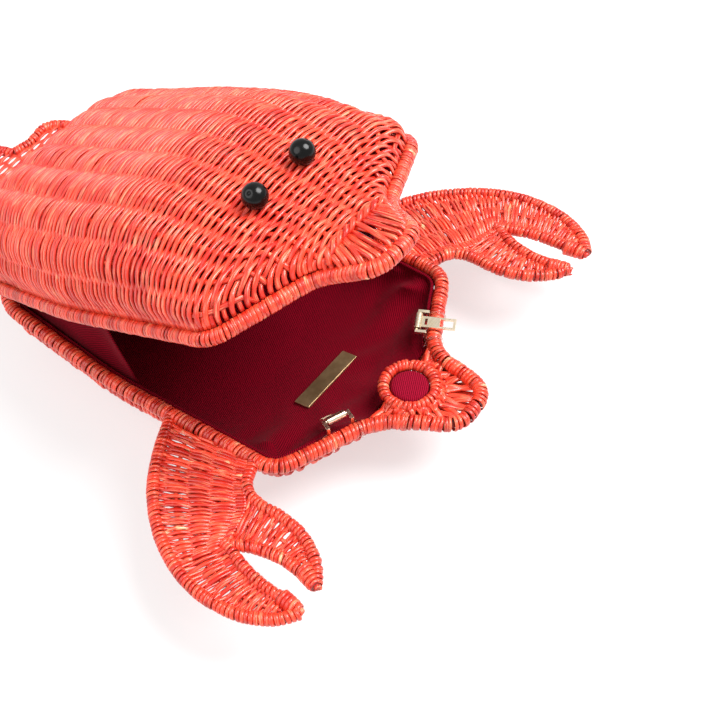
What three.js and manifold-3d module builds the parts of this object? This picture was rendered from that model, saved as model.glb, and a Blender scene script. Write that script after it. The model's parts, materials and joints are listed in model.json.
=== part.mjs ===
// A wicker clutch bag in the shape of a lobster: a lined basket tray, a domed lid on
// cane ties, two claws, a tail fan, bead eyes, a magnet closure and two strap links.
// Millimetres, +Z up. The snout points along +X and the lobster's left is +Y.
import * as THREE from "three";
import { mergeVertices } from "three/addons/utils/BufferGeometryUtils.js";
import Module from "manifold-3d";

const wasm = await Module();
wasm.setup();

// Driving dimensions
const RIM_PLANE_Z = 36;        // height of the tray rim's centre line above the floor
const RIM_GAP = 9.4;           // tray rim to lid rim, centre to centre, when shut
const LID_CROWN = 46;          // lid rim centre to the top of the dome
const TRAY_CROWN = 38;         // depth that the tray's floor curve aims for, before it is flattened
const SNOUT_RUN = 125;         // distance behind the snout tip where dome and tray reach full height
const SNOUT_EASE = 1.7;        // how slowly they start to rise at the snout
const FULLNESS = 2.6;          // exponent of the rounded cross-section
const SPINE_FRONT_X = -16;     // the dome gathers to a spine between these
const SPINE_REAR_X = -196;

const BASE_X = -140;           // the row's origin: the middle of the flat floor, behind the snout tip
const HINGE_X = -238;
const HINGE_RISE = 10.9;       // hinge line above the tray's rim plane, at the top of the ties
const LID_OPEN_DEG = 25.3;     // opening at rest
const HINGE_LEAN_DEG = -5;     // the cane ties hold one side higher, so the open lid leans

const TRAY_SNOUT_SKEW = 7.5;   // the two hand-bent rims don't quite match at the snout
const LID_SNOUT_SKEW = -2.3;
const SKEW_START_X = -50;

const ROD_R = 2.0;             // rim pole
const WRAP_INNER_R = 2.3;
const WRAP_OUTER_R = 3.7;
const WRAP_SEAM_DEG = 14;      // half angle of the open seam in the binding
const CLEAR = 0.3;             // gap between touching pieces

const WALL = 3.0;              // woven wall
const WALL_OUTSET = 1.2;
const LINING_INSET = 5.8;
const LINING_T = 1.0;
const LINING_GAP = 1.0;
const LINING_FRONT_X = -38;

// Rim outlines, left half: corners as x, y and corner radius. The lid's snout is shorter.
const REAR_CORNERS = [[-151.8, 71.7, 200], [HINGE_X, 63.5, 24]];
const RIM_CORNERS = [[0, 11.8, 11.5], [-34, 23.8, 27], [-55.8, 69.4, 13.4], ...REAR_CORNERS];
const LID_CORNERS = [[-4, 11.8, 11.5], [-31.5, 23.8, 24], [-53.5, 69.4, 13.4], ...REAR_CORNERS];
const ARC_STEP_DEG = 22;
const LONGEST_STRAIGHT = 40;
const RING_COUNT = 5;
const RING_EASE = 1.5;         // packs the rings towards the rim, where the wall is steepest

// Closure on the snout
const CLOSURE_X = -31;
const CLOSURE_Y = 2;
const RING_MAJOR_R = 12.3;
const RING_TUBE_R = 2.75;
const BUTTON_R = 9.1;
const BUTTON_H = 4.1;
const MAGNET_R = 7.1;
const MAGNET_H = 2.2;
const LID_BUTTON_R = 8.7;
const BUTTON_EDGE = 1.2;       // rounding of the covered button's face
const BUTTON_SHOULDER = 1.1;
const RING_REACH = 40;         // further than the snout reaches to either side
const WEB_REAR_X = -33;        // the snout webs stop here, apart from the disc under the ring
const WEB_T = 2.0;
const WEB_DROP = 3.2;          // top rim plane to underside of the snout web

// Eyes
const EYE_X = -58.5;
const EYE_Y = 15.5;
const EYE_R = 5.8;
const EYE_STAND_OFF = 0.6;

// Name plate
const PLATE = { x: -77, y: -3, z: 15.0, length: 38, width: 9.2, thick: 1.2, turn: -2.5, slope: -13.5 };

// Strap links
const LINK_RIM_X = -40.3;
const LINK_RIM_Y = 37.5;
const LINK_INSET = 8.6;
const LINK_Z = 4.6;            // above the rim plane
const LINK_LENGTH = 18;
const LINK_WIDTH = 6.6;
const LINK_T = 1.0;
const BARREL_R = 1.9;
const BARREL_BORE_R = 1.15;
const BARREL_LENGTH = 9;
const PIN_R = 0.8;
const STAPLE_HALF = 6.2;
const STAPLE_BAR = 1.6;
const STAPLE_FOOT_T = 0.9;
const STAPLE_FOOT_DROP = 1.5;
const LINK_SLOT = { from: 3.2, to: 4.4, border: 1.4 };
const LINK_WINDOW = { from: 10.4, to: 16.8, half: 2.2 };
const THREAD_R = 0.35;
const THREAD_START_DEG = -25;
const THREAD_SLACK = 1.0;
const THREAD_STAND_OFF = 0.6; // beside the staple
const RIGHT_LINK_TURN_DEG = 230; // the right link hangs folded inside the rim

// The lining's top edge lies just inside the rim, and drops below the closure in the snout.
const LINING_EDGE = -1;
const LINING_FRONT_EDGE = 6;
const LINING_DROP = { from: -54, to: -49 };

// Cane ties at the hinge, and the arches in the walls' edges where they pass
const TIE_YS = [-20, 0, 20];
const TIE_WIDTH = 8;
const TIE_T = 1.0;
const TIE_SLACK = 0.6;
const TIE_ARCH = 2.6;
const TIE_ARCH_MARGIN = 2;

// Claw, left-hand, in the rim plane. y is measured outward from the rim line at CLAW_ROOT_Y.
const CLAW_ROOT_Y = 70;
const CLAW_ROD_R = 2.8;
const KNOT_EXTRA = 0.5;        // finger tips and forks are this much fatter than the rods
const RIB_R = 1.5;
const CLAW_OUTER = [
  [-114.5, 1], [-106, 20], [-96, 36], [-82, 50], [-64, 61],
  [-46, 66], [-26, 65], [-11, 58], [-4, 50],
];
const CLAW_FORK_BIG = [[-50, 41], [-40, 45], [-27, 48], [-15, 48.5], [-5, 49]];
const CLAW_FORK_SMALL = [[-50, 41], [-40, 36], [-28, 33.5], [-17, 34], [-6, 36.5]];
const CLAW_FRONT = [[-66.5, 1], [-61, 13], [-52, 17], [-38, 17], [-24, 20], [-12, 28], [-6, 36]];
const CLAW_RIBS = [
  [[-103, 2], [-84, 24], [-66, 38], [-46, 50.5], [-28, 56]],
  [[-86, 2], [-72, 18], [-61, 26], [-46, 29], [-28, 27]],
];

// Tail fan, left half, in the rim plane. x is measured from TAIL_ROOT_X.
const TAIL_ROOT_X = HINGE_X - WRAP_OUTER_R;
const TAIL_SIDE = [[3, 31], [-9, 26], [-20, 31], [-33, 44], [-47, 50], [-57, 42], [-56, 28], [-58, 17]];
const TAIL_MIDDLE = [[-58, 17], [-68, 13], [-73, 0], [-68, -13], [-58, -17]];
const TAIL_RIBS = [[2, 10], [-18, 14], [-34, 21], [-50, 34]];

// Side gussets
const GUSSET_INSET = 7.4;
const GUSSET_T = 0.9;
const GUSSET_FRONT_X = -140;
const GUSSET_REAR_X = -226;
const GUSSET_STEPS = 9;
const GUSSET_TUCK = 2;         // how far the cloth stops inside each rim plane

const deg = THREE.MathUtils.degToRad;
const clamp = THREE.MathUtils.clamp;

// ---------------------------------------------------------------- outlines

// Left half of a rim from the snout tip to the middle of the rear edge, corners rounded by arcs.
function halfOutline(corners) {
  const ends = [new THREE.Vector2(corners[0][0], 0), ...corners.map(([x, y]) => new THREE.Vector2(x, y))];
  ends.push(new THREE.Vector2(HINGE_X, 0));
  const points = [ends[0]];
  corners.forEach(([, , radius], i) => {
    const corner = ends[i + 1];
    const back = ends[i].clone().sub(corner).normalize();
    const ahead = ends[i + 2].clone().sub(corner).normalize();
    const turn = Math.PI - Math.abs(back.angleTo(ahead));
    const reach = radius * Math.tan(turn / 2);
    const middle = back.clone().add(ahead).normalize();
    const centre = corner.clone().addScaledVector(middle, radius / Math.cos(turn / 2));
    const arm = corner.clone().addScaledVector(back, reach).sub(centre);
    const side = Math.sign(back.cross(ahead));
    const steps = Math.max(1, Math.round(THREE.MathUtils.radToDeg(turn) / ARC_STEP_DEG));
    for (let k = 0; k <= steps; k += 1) {
      const spoke = arm.clone().rotateAround(new THREE.Vector2(), (-side * turn * k) / steps);
      points.push(centre.clone().add(spoke));
    }
  });
  points.push(ends.at(-1));
  return points;
}

// Splits long straight runs so that domes over them stay round.
function subdivided(points) {
  const out = [points[0]];
  for (let i = 1; i < points.length; i += 1) {
    const pieces = Math.ceil(points[i].distanceTo(points[i - 1]) / LONGEST_STRAIGHT);
    for (let k = 1; k <= pieces; k += 1) {
      out.push(points[i - 1].clone().lerp(points[i], k / pieces));
    }
  }
  return out;
}

// The whole rim, counter-clockwise from above, starting at the snout tip.
function rimLoop(corners) {
  const half = subdivided(halfOutline(corners));
  const mirrored = half.slice(1, -1).reverse().map((p) => new THREE.Vector2(p.x, -p.y));
  return [...half, ...mirrored];
}

function outward(loop, i) {
  const before = loop[(i + loop.length - 1) % loop.length];
  const after = loop[(i + 1) % loop.length];
  return new THREE.Vector2(after.y - before.y, before.x - after.x).normalize();
}

function inset(loop, distance) {
  return loop.map((p, i) => p.clone().addScaledVector(outward(loop, i), -distance));
}

const RIM = rimLoop(RIM_CORNERS);
const LID_RIM = rimLoop(LID_CORNERS);

// Sideways lean of the snout, fading to nothing behind the cheeks.
function skewed(x, y, skew) {
  return y + skew * THREE.MathUtils.smoothstep(x, SKEW_START_X, 0);
}

// ---------------------------------------------------------------- solids

// Joins rows of points into quads; the rows close on themselves, and the last row meets the first.
function solidFromRows(rows) {
  const width = rows[0].length;
  const positions = rows.flat().flatMap((p) => [p.x, p.y, p.z]);
  const index = [];
  rows.forEach((row, r) => {
    const next = (r + 1) % rows.length;
    for (let i = 0; i < width; i += 1) {
      const j = (i + 1) % width;
      const [a, b, c, d] = [r * width + i, r * width + j, next * width + j, next * width + i];
      index.push(a, b, c, a, c, d);
    }
  });
  return cleaned(positions, index);
}

// Merges equal corners and drops the triangles that this collapses.
function cleaned(positions, index) {
  const loose = new THREE.BufferGeometry();
  loose.setAttribute("position", new THREE.Float32BufferAttribute(positions, 3));
  loose.setIndex(index);
  const merged = mergeVertices(loose, 1e-3);
  const kept = [];
  const source = merged.index.array;
  for (let i = 0; i < source.length; i += 3) {
    const [a, b, c] = [source[i], source[i + 1], source[i + 2]];
    if (a !== b && b !== c && a !== c) {
      kept.push(a, b, c);
    }
  }
  merged.setIndex(kept);
  merged.computeVertexNormals();
  return merged;
}

function toManifold(geometry) {
  const bare = geometry.clone();
  bare.deleteAttribute("normal");
  bare.deleteAttribute("uv");
  const merged = mergeVertices(bare, 1e-4);
  const mesh = new wasm.Mesh({
    numProp: 3,
    vertProperties: new Float32Array(merged.attributes.position.array),
    triVerts: new Uint32Array(merged.index.array),
  });
  return new wasm.Manifold(mesh);
}

function fromManifold(solid) {
  const mesh = solid.getMesh();
  const geometry = new THREE.BufferGeometry();
  geometry.setAttribute("position", new THREE.Float32BufferAttribute(mesh.vertProperties, 3));
  geometry.setIndex(Array.from(mesh.triVerts));
  geometry.computeVertexNormals();
  return geometry;
}

function joined(geometries) {
  return geometries.map(toManifold).reduce((a, b) => a.add(b));
}

function largest(solid) {
  return solid.decompose().sort((a, b) => b.volume() - a.volume())[0];
}

// A flat shape from points, leaving out the ones in the middle of a straight run.
function flatShape(points) {
  const corners = points.filter((p, i) => {
    const before = points[(i + points.length - 1) % points.length];
    const after = points[(i + 1) % points.length];
    const bend = (p.x - before.x) * (after.y - p.y) - (p.y - before.y) * (after.x - p.x);
    return Math.abs(bend) > 1e-3;
  });
  return new THREE.Shape(corners);
}

function boxBetween(low, high) {
  const size = high.map((v, i) => v - low[i]);
  const box = new THREE.BoxGeometry(...size);
  box.translate(...low.map((v, i) => v + size[i] / 2));
  return box;
}

// Round rod along an open curve, its ends closed.
function rod(curve, radius, sides = 8, steps = 24) {
  const section = new THREE.Shape();
  for (let k = 0; k < sides; k += 1) {
    const angle = (k * 2 * Math.PI) / sides;
    const point = [radius * Math.cos(angle), radius * Math.sin(angle)];
    section[k === 0 ? "moveTo" : "lineTo"](...point);
  }
  section.closePath();
  return new THREE.ExtrudeGeometry(section, { steps, bevelEnabled: false, extrudePath: curve });
}

function lathe(profile, segments = 14) {
  const geometry = new THREE.LatheGeometry(profile.map(([r, z]) => new THREE.Vector2(r, z)), segments);
  geometry.rotateX(Math.PI / 2);
  return cleaned(Array.from(geometry.attributes.position.array), Array.from(geometry.index.array));
}

// ---------------------------------------------------------------- basket shapes

// Rise of the dome along the body: a sine that eases in at the snout and is full behind the cheeks.
function bodyRise(x) {
  const along = clamp(-x / SNOUT_RUN, 0, 1);
  return Math.sin((along * Math.PI) / 2) ** SNOUT_EASE;
}

const WALL_START = WRAP_OUTER_R + CLEAR;

// Height of a woven wall above the rim plane: t is 0 at the rim and 1 on the spine.
function wallHeight(crown) {
  return (x, t) => {
    const shoulder = (1 - (1 - t) ** FULLNESS) ** (1 / FULLNESS);
    return WALL_START + (crown - WALL_START) * bodyRise(x) * shoulder;
  };
}

// Rows of a dome over an outline, each a step further from the rim towards the spine.
function domeRows(loop, height, skew) {
  return Array.from({ length: RING_COUNT + 1 }, (_, k) => {
    const t = (k / RING_COUNT) ** RING_EASE;
    return loop.map((p) => {
      const spineX = clamp(p.x, SPINE_REAR_X, SPINE_FRONT_X);
      const x = THREE.MathUtils.lerp(p.x, spineX, t);
      const y = THREE.MathUtils.lerp(p.y, 0, t);
      return new THREE.Vector3(x, skewed(x, y, skew), height(x, t));
    });
  });
}

// A wall between two domes that share a rim edge. Heights are above the rim plane.
function domeShell(outerLoop, innerLoop, outerHeight, innerHeight, skew) {
  const outer = domeRows(outerLoop, outerHeight, skew);
  const inner = domeRows(innerLoop, innerHeight, skew);
  return solidFromRows([...outer, ...inner.reverse()]);
}

// Turns a lid-like dome over into a tray and lays it in the tray's place, floor flattened at z = 0.
function asTray(geometry) {
  const position = geometry.attributes.position;
  for (let i = 0; i < position.count; i += 1) {
    position.setZ(i, Math.max(0, RIM_PLANE_Z - position.getZ(i)));
  }
  const index = Array.from(geometry.index.array);
  for (let i = 0; i < index.length; i += 3) {
    [index[i + 1], index[i + 2]] = [index[i + 2], index[i + 1]];
  }
  return cleaned(Array.from(position.array), index);
}

// A section swept round a closed rim: section points are [outward, up] from the centre line.
function rimSweep(rim, section, skew, z) {
  const rows = section.map(([out, up]) => rim.map((p, i) => {
    const normal = outward(rim, i);
    const x = p.x + normal.x * out;
    return new THREE.Vector3(x, skewed(p.x, p.y, skew) + normal.y * out, z + up);
  }));
  return solidFromRows(rows);
}

function circleSection(radius, sides) {
  return Array.from({ length: sides }, (_, k) => {
    const angle = (k * 2 * Math.PI) / sides;
    return [radius * Math.cos(angle), radius * Math.sin(angle)];
  });
}

// A binding round the rim pole, with an open seam on the side given by seamDeg.
function wrapSection(seamDeg) {
  const sides = 6;
  const first = deg(seamDeg + WRAP_SEAM_DEG);
  const sweep = deg(360 - 2 * WRAP_SEAM_DEG);
  const arc = (radius) => Array.from({ length: sides + 1 }, (_, k) => {
    const angle = first + (sweep * k) / sides;
    return [radius * Math.cos(angle), radius * Math.sin(angle)];
  });
  return [...arc(WRAP_OUTER_R), ...arc(WRAP_INNER_R).reverse()];
}

function archedForTies(geometry, edgeZ, up) {
  const half = TIE_WIDTH / 2 + CLEAR;
  const reach = WRAP_OUTER_R + TIE_SLACK + TIE_T + TIE_ARCH_MARGIN;
  const zs = [edgeZ - up, edgeZ + up * TIE_ARCH].sort((a, b) => a - b);
  const cutters = TIE_YS.map((y) => (
    boxBetween([HINGE_X - reach, y - half, zs[0]], [HINGE_X + reach, y + half, zs[1]])
  ));
  const cut = cutters.reduce((solid, box) => solid.subtract(toManifold(box)), toManifold(geometry));
  return fromManifold(largest(cut));
}

function wovenWall(rim, outerCrown, innerCrown, skew) {
  const outer = inset(rim, -WALL_OUTSET);
  const inner = inset(rim, WALL - WALL_OUTSET);
  return domeShell(outer, inner, wallHeight(outerCrown), wallHeight(innerCrown), skew);
}

function trayShell() {
  const shell = asTray(wovenWall(RIM, TRAY_CROWN, RIM_PLANE_Z - WALL, TRAY_SNOUT_SKEW));
  return archedForTies(shell, RIM_PLANE_Z - WALL_START, -1);
}

function lidShell() {
  const shell = wovenWall(LID_RIM, LID_CROWN, LID_CROWN - WALL, LID_SNOUT_SKEW);
  shell.translate(0, 0, RIM_PLANE_Z + RIM_GAP);
  return archedForTies(shell, RIM_PLANE_Z + RIM_GAP + WALL_START, 1);
}

// Lining outline: the rim inset, cut off square in front of the closure.
function liningLoop(rim, distance, frontX) {
  return inset(rim, distance).map((p) => new THREE.Vector2(Math.min(p.x, frontX), p.y));
}

function liningStart(x) {
  const drop = THREE.MathUtils.smoothstep(x, LINING_DROP.from, LINING_DROP.to);
  return THREE.MathUtils.lerp(LINING_EDGE, LINING_FRONT_EDGE, drop);
}

// Cloth lies just inside the wall, and never rises past its own edge.
function liningHeight(crown, lift) {
  const wall = wallHeight(crown);
  return (x, t) => {
    const edge = liningStart(x);
    return t === 0 ? edge : Math.max(edge + lift, wall(x, t) - LINING_GAP - LINING_T + lift);
  };
}

function lining(rim, crown, skew) {
  const outer = liningLoop(rim, LINING_INSET, LINING_FRONT_X);
  const inner = liningLoop(rim, LINING_INSET + LINING_T, LINING_FRONT_X - LINING_T);
  return domeShell(outer, inner, liningHeight(crown, LINING_T), liningHeight(crown, 0), skew);
}

function trayLining() {
  return asTray(lining(RIM, RIM_PLANE_Z - WALL, TRAY_SNOUT_SKEW));
}

function lidLining() {
  const geometry = lining(LID_RIM, LID_CROWN - WALL, LID_SNOUT_SKEW);
  geometry.translate(0, 0, RIM_PLANE_Z + RIM_GAP);
  return geometry;
}

// ---------------------------------------------------------------- closure

// Flat web in the snout between two heights, rounded behind to carry the closure.
function snoutWeb(rim, lowZ, skew) {
  const loop = inset(rim, WRAP_OUTER_R + CLEAR).filter((p) => p.x > SKEW_START_X);
  const shape = flatShape(loop.map((p) => new THREE.Vector2(p.x, skewed(p.x, p.y, skew))));
  const plate = new THREE.ExtrudeGeometry(shape, { depth: WEB_T, bevelEnabled: false });
  plate.translate(0, 0, lowZ);
  const disc = new THREE.CylinderGeometry(RING_MAJOR_R, RING_MAJOR_R, WEB_T, 16);
  disc.rotateX(Math.PI / 2);
  disc.translate(CLOSURE_X, CLOSURE_Y, lowZ + WEB_T / 2);
  const frontHalf = boxBetween([WEB_REAR_X, -RING_REACH, lowZ], [RING_REACH, RING_REACH, lowZ + WEB_T]);
  const region = joined([disc, frontHalf]);
  return fromManifold(largest(toManifold(plate).intersect(region)));
}

function closureRing() {
  const ring = new THREE.TorusGeometry(RING_MAJOR_R, RING_TUBE_R, 8, 20);
  const centreZ = RIM_PLANE_Z - WEB_DROP + WEB_T + CLEAR + RING_TUBE_R;
  ring.translate(CLOSURE_X, CLOSURE_Y, centreZ);
  return ring;
}

// Covered button: a shallow cup with a slightly crowned face, open at the back for the magnet.
function buttonCup(radius, height) {
  const pocketR = MAGNET_R + CLEAR;
  const pocketH = MAGNET_H + CLEAR;
  return lathe([
    [0, pocketH], [pocketR, pocketH], [pocketR, 0], [radius, 0],
    [radius, height - BUTTON_SHOULDER], [radius - BUTTON_EDGE, height - CLEAR], [0, height],
  ]);
}

function magnetDisc() {
  return lathe([[0, 0], [MAGNET_R, 0], [MAGNET_R, MAGNET_H], [0, MAGNET_H]]);
}

const TRAY_WEB_Z = RIM_PLANE_Z - WEB_DROP;
const BUTTON_Z = TRAY_WEB_Z + WEB_T + CLEAR;
const LID_WEB_Z = RIM_PLANE_Z + RIM_GAP + WEB_DROP - WEB_T;

// ---------------------------------------------------------------- claws and tail

function splineAt(points, z) {
  return new THREE.CatmullRomCurve3(points.map(([x, y]) => new THREE.Vector3(x, y + CLAW_ROOT_Y, z)));
}

// A finger tip: a round-ended knot where the two frame rods meet.
function tipKnot([x, y], z) {
  const knot = new THREE.SphereGeometry(CLAW_ROD_R + KNOT_EXTRA, 8, 6);
  knot.translate(x, y + CLAW_ROOT_Y, z);
  return knot;
}

// Cuts a piece back to where it meets the tray's rim.
const rimRoomSection = circleSection(WRAP_OUTER_R + CLEAR, 10);
const rimRoom = toManifold(rimSweep(RIM, rimRoomSection, TRAY_SNOUT_SKEW, RIM_PLANE_Z));

function shortOfRim(solid) {
  return fromManifold(largest(solid.subtract(rimRoom)));
}

function clawFrameSolid(radius, z) {
  const rods = [
    rod(splineAt(CLAW_OUTER, z), radius, 6, 16),
    rod(splineAt(CLAW_FORK_BIG, z), radius, 6, 6),
    rod(splineAt(CLAW_FORK_SMALL, z), radius, 6, 6),
    rod(splineAt(CLAW_FRONT, z), radius, 6, 10),
    tipKnot(CLAW_OUTER.at(-1), z),
    tipKnot(CLAW_FRONT.at(-1), z),
    tipKnot(CLAW_FORK_BIG[0], z),
  ];
  return joined(rods);
}

// The woven panel between the frame rods, short of them by the clearance all round.
function clawWeb(z) {
  const edge = [
    ...splineAt(CLAW_OUTER, z).getPoints(16),
    ...splineAt(CLAW_FORK_BIG, z).getPoints(6).reverse(),
    ...splineAt(CLAW_FORK_SMALL, z).getPoints(6),
    ...splineAt(CLAW_FRONT, z).getPoints(10).reverse(),
  ];
  const shape = flatShape(edge.map((p) => new THREE.Vector2(p.x, p.y)));
  const panel = new THREE.ExtrudeGeometry(shape, { depth: WEB_T, bevelEnabled: false });
  panel.translate(0, 0, z - WEB_T / 2);
  return shortOfRim(toManifold(panel).subtract(clawFrameSolid(CLAW_ROD_R + CLEAR, z)));
}

function clawRib(points) {
  const z = RIM_PLANE_Z - WEB_T / 2 - CLEAR - RIB_R;
  return shortOfRim(toManifold(rod(splineAt(points, z), RIB_R, 5, 8)));
}

// Turns a left-hand piece into the right-hand one and keeps its faces pointing out.
function mirrored(geometry) {
  const copy = geometry.index ? geometry.clone() : mergeVertices(geometry);
  copy.scale(1, -1, 1);
  const index = Array.from(copy.index.array);
  for (let i = 0; i < index.length; i += 3) {
    [index[i + 1], index[i + 2]] = [index[i + 2], index[i + 1]];
  }
  copy.setIndex(index);
  copy.computeVertexNormals();
  return copy;
}

// Tail fan in the rim plane: a wrapped frame with three lobes, a woven panel and two ribs.
function tailSpline(points, side, z) {
  return new THREE.CatmullRomCurve3(points.map(([x, y]) => (
    new THREE.Vector3(TAIL_ROOT_X + x, side * y, z)
  )));
}

function tailFrameSolid(radius, z) {
  const notch = new THREE.SphereGeometry(radius + CLEAR, 8, 6);
  const notches = [-1, 1].map((side) => {
    const knot = notch.clone();
    knot.translate(TAIL_ROOT_X + TAIL_MIDDLE[0][0], side * TAIL_MIDDLE[0][1], z);
    return knot;
  });
  return joined([
    rod(tailSpline(TAIL_SIDE, 1, z), radius, 6, 14),
    rod(tailSpline(TAIL_SIDE, -1, z), radius, 6, 14),
    rod(tailSpline(TAIL_MIDDLE, 1, z), radius, 6, 8),
    ...notches,
  ]);
}

function tailWeb(z) {
  const left = tailSpline(TAIL_SIDE, 1, z).getPoints(14);
  const right = tailSpline(TAIL_SIDE, -1, z).getPoints(14).reverse();
  const edge = [...left, ...tailSpline(TAIL_MIDDLE, 1, z).getPoints(8).slice(1, -1), ...right];
  const shape = flatShape(edge.map((p) => new THREE.Vector2(p.x, p.y)));
  const panel = new THREE.ExtrudeGeometry(shape, { depth: WEB_T, bevelEnabled: false });
  panel.translate(0, 0, z - WEB_T / 2);
  const tieReach = WRAP_OUTER_R + TIE_SLACK + 2 * TIE_T + CLEAR;
  const tieRoom = boxBetween([HINGE_X - tieReach, -RIM_PLANE_Z, 0], [0, RIM_PLANE_Z, 2 * RIM_PLANE_Z]);
  const room = tailFrameSolid(CLAW_ROD_R + CLEAR, z).add(toManifold(tieRoom));
  return fromManifold(largest(toManifold(panel).subtract(room)));
}

function tailRib(side) {
  const z = RIM_PLANE_Z - WEB_T / 2 - CLEAR - RIB_R;
  return shortOfRim(toManifold(rod(tailSpline(TAIL_RIBS, side, z), RIB_R, 5, 7)));
}

// ---------------------------------------------------------------- strap hardware

// Places a piece built at the left link's pivot: local x runs outward across the rim, y along it.
function linkFrame(side) {
  const along = new THREE.Vector3(
    RIM_CORNERS[2][0] - RIM_CORNERS[1][0],
    RIM_CORNERS[2][1] - RIM_CORNERS[1][1],
    0,
  ).normalize();
  const out = new THREE.Vector3(along.y, -along.x, 0);
  const group = new THREE.Group();
  group.position.set(
    LINK_RIM_X - out.x * LINK_INSET,
    skewed(LINK_RIM_X, side * LINK_RIM_Y, TRAY_SNOUT_SKEW) - side * out.y * LINK_INSET,
    RIM_PLANE_Z + LINK_Z,
  );
  group.rotation.z = side * Math.atan2(out.y, out.x);
  return group;
}

function alongY(radius, length, sides) {
  return new THREE.CylinderGeometry(radius, radius, length, sides);
}

// Wire bracket: a pin between two arms whose feet lie flat against the inside of the rim.
function strapStaple() {
  const footOut = LINK_INSET - WRAP_OUTER_R - CLEAR;
  const footZ = -LINK_Z - STAPLE_FOOT_DROP;
  const pieces = [alongY(PIN_R, 2 * STAPLE_HALF, 10)];
  [-1, 1].forEach((end) => {
    const y = [end * STAPLE_HALF - STAPLE_BAR / 2, end * STAPLE_HALF + STAPLE_BAR / 2];
    pieces.push(boxBetween([-PIN_R, y[0], -PIN_R], [footOut, y[1], PIN_R]));
    pieces.push(boxBetween([footOut - STAPLE_FOOT_T, y[0], footZ], [footOut, y[1], PIN_R]));
  });
  return fromManifold(joined(pieces));
}

// Flat link: a barrel on the pin, a narrow slot, a solid middle and a square window at the end.
function strapLink() {
  const half = LINK_WIDTH / 2;
  const plate = boxBetween([0, -half, -LINK_T / 2], [LINK_LENGTH, half, LINK_T / 2]);
  const slotHalf = half - LINK_SLOT.border;
  const slot = boxBetween([LINK_SLOT.from, -slotHalf, -LINK_T], [LINK_SLOT.to, slotHalf, LINK_T]);
  const window = boxBetween(
    [LINK_WINDOW.from, -LINK_WINDOW.half, -LINK_T],
    [LINK_WINDOW.to, LINK_WINDOW.half, LINK_T],
  );
  const bore = alongY(BARREL_BORE_R, 2 * BARREL_LENGTH, 14);
  const body = joined([plate, alongY(BARREL_R, BARREL_LENGTH, 14)]);
  return fromManifold([bore, slot, window].reduce((solid, hole) => solid.subtract(toManifold(hole)), body));
}

// Clear thread over the top of the rim, its ends sewn into the wall below.
function threadLoop() {
  const radius = WRAP_OUTER_R + THREAD_SLACK + THREAD_R;
  const points = Array.from({ length: 9 }, (_, k) => {
    const angle = deg(THREAD_START_DEG + ((180 - 2 * THREAD_START_DEG) * k) / 8);
    return new THREE.Vector3(radius * Math.cos(angle), 0, radius * Math.sin(angle));
  });
  return rod(new THREE.CatmullRomCurve3(points), THREAD_R, 4, 8);
}

// ---------------------------------------------------------------- lid, gussets and ties

const HINGE_Z = RIM_PLANE_Z + HINGE_RISE;
const hingePivot = new THREE.Vector3(HINGE_X, 0, HINGE_Z);
const hingeAxis = new THREE.Vector3(0, -Math.cos(deg(HINGE_LEAN_DEG)), Math.sin(deg(HINGE_LEAN_DEG)));
const lidTurn = new THREE.Quaternion().setFromAxisAngle(hingeAxis, deg(LID_OPEN_DEG));

function opened(point) {
  return point.clone().sub(hingePivot).applyQuaternion(lidTurn).add(hingePivot);
}

// Side gusset: cloth between the tray rim and the opened lid rim, from the hinge forward.
function rimInsetAt(x, distance) {
  const loop = inset(RIM, distance).filter((p) => p.y > 30);
  for (let i = 1; i < loop.length; i += 1) {
    if (loop[i].x <= x && loop[i - 1].x >= x) {
      const part = (loop[i - 1].x - x) / (loop[i - 1].x - loop[i].x);
      return THREE.MathUtils.lerp(loop[i - 1].y, loop[i].y, part);
    }
  }
  return loop.at(-1).y;
}

function gusset(side) {
  const innerInset = GUSSET_INSET + GUSSET_T;
  const edges = [[GUSSET_INSET, false], [GUSSET_INSET, true], [innerInset, true], [innerInset, false]];
  const stations = Array.from({ length: GUSSET_STEPS + 1 }, (_, k) => (
    THREE.MathUtils.lerp(GUSSET_FRONT_X, GUSSET_REAR_X, k / GUSSET_STEPS)
  ));
  const rows = stations.map((x) => edges.map(([distance, onLid]) => {
    const y = side * rimInsetAt(x, distance);
    if (onLid) {
      return opened(new THREE.Vector3(x, y, RIM_PLANE_Z + RIM_GAP - GUSSET_TUCK));
    }
    return new THREE.Vector3(x, y, RIM_PLANE_Z + GUSSET_TUCK);
  }));
  return cappedStrip(rows, side);
}

// Joins a run of closed sections and caps both ends.
function cappedStrip(sections, side) {
  const width = sections[0].length;
  const positions = sections.flat().flatMap((p) => [p.x, p.y, p.z]);
  const index = [];
  for (let r = 0; r + 1 < sections.length; r += 1) {
    for (let i = 0; i < width; i += 1) {
      const j = (i + 1) % width;
      const [a, b, c, d] = [r * width + i, r * width + j, (r + 1) * width + j, (r + 1) * width + i];
      index.push(a, b, c, a, c, d);
    }
  }
  const last = (sections.length - 1) * width;
  for (let i = 1; i + 1 < width; i += 1) {
    index.push(0, i + 1, i);
    index.push(last, last + i, last + i + 1);
  }
  if (side > 0) {
    for (let i = 0; i < index.length; i += 3) {
      [index[i + 1], index[i + 2]] = [index[i + 2], index[i + 1]];
    }
  }
  return cleaned(positions, index);
}

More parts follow.
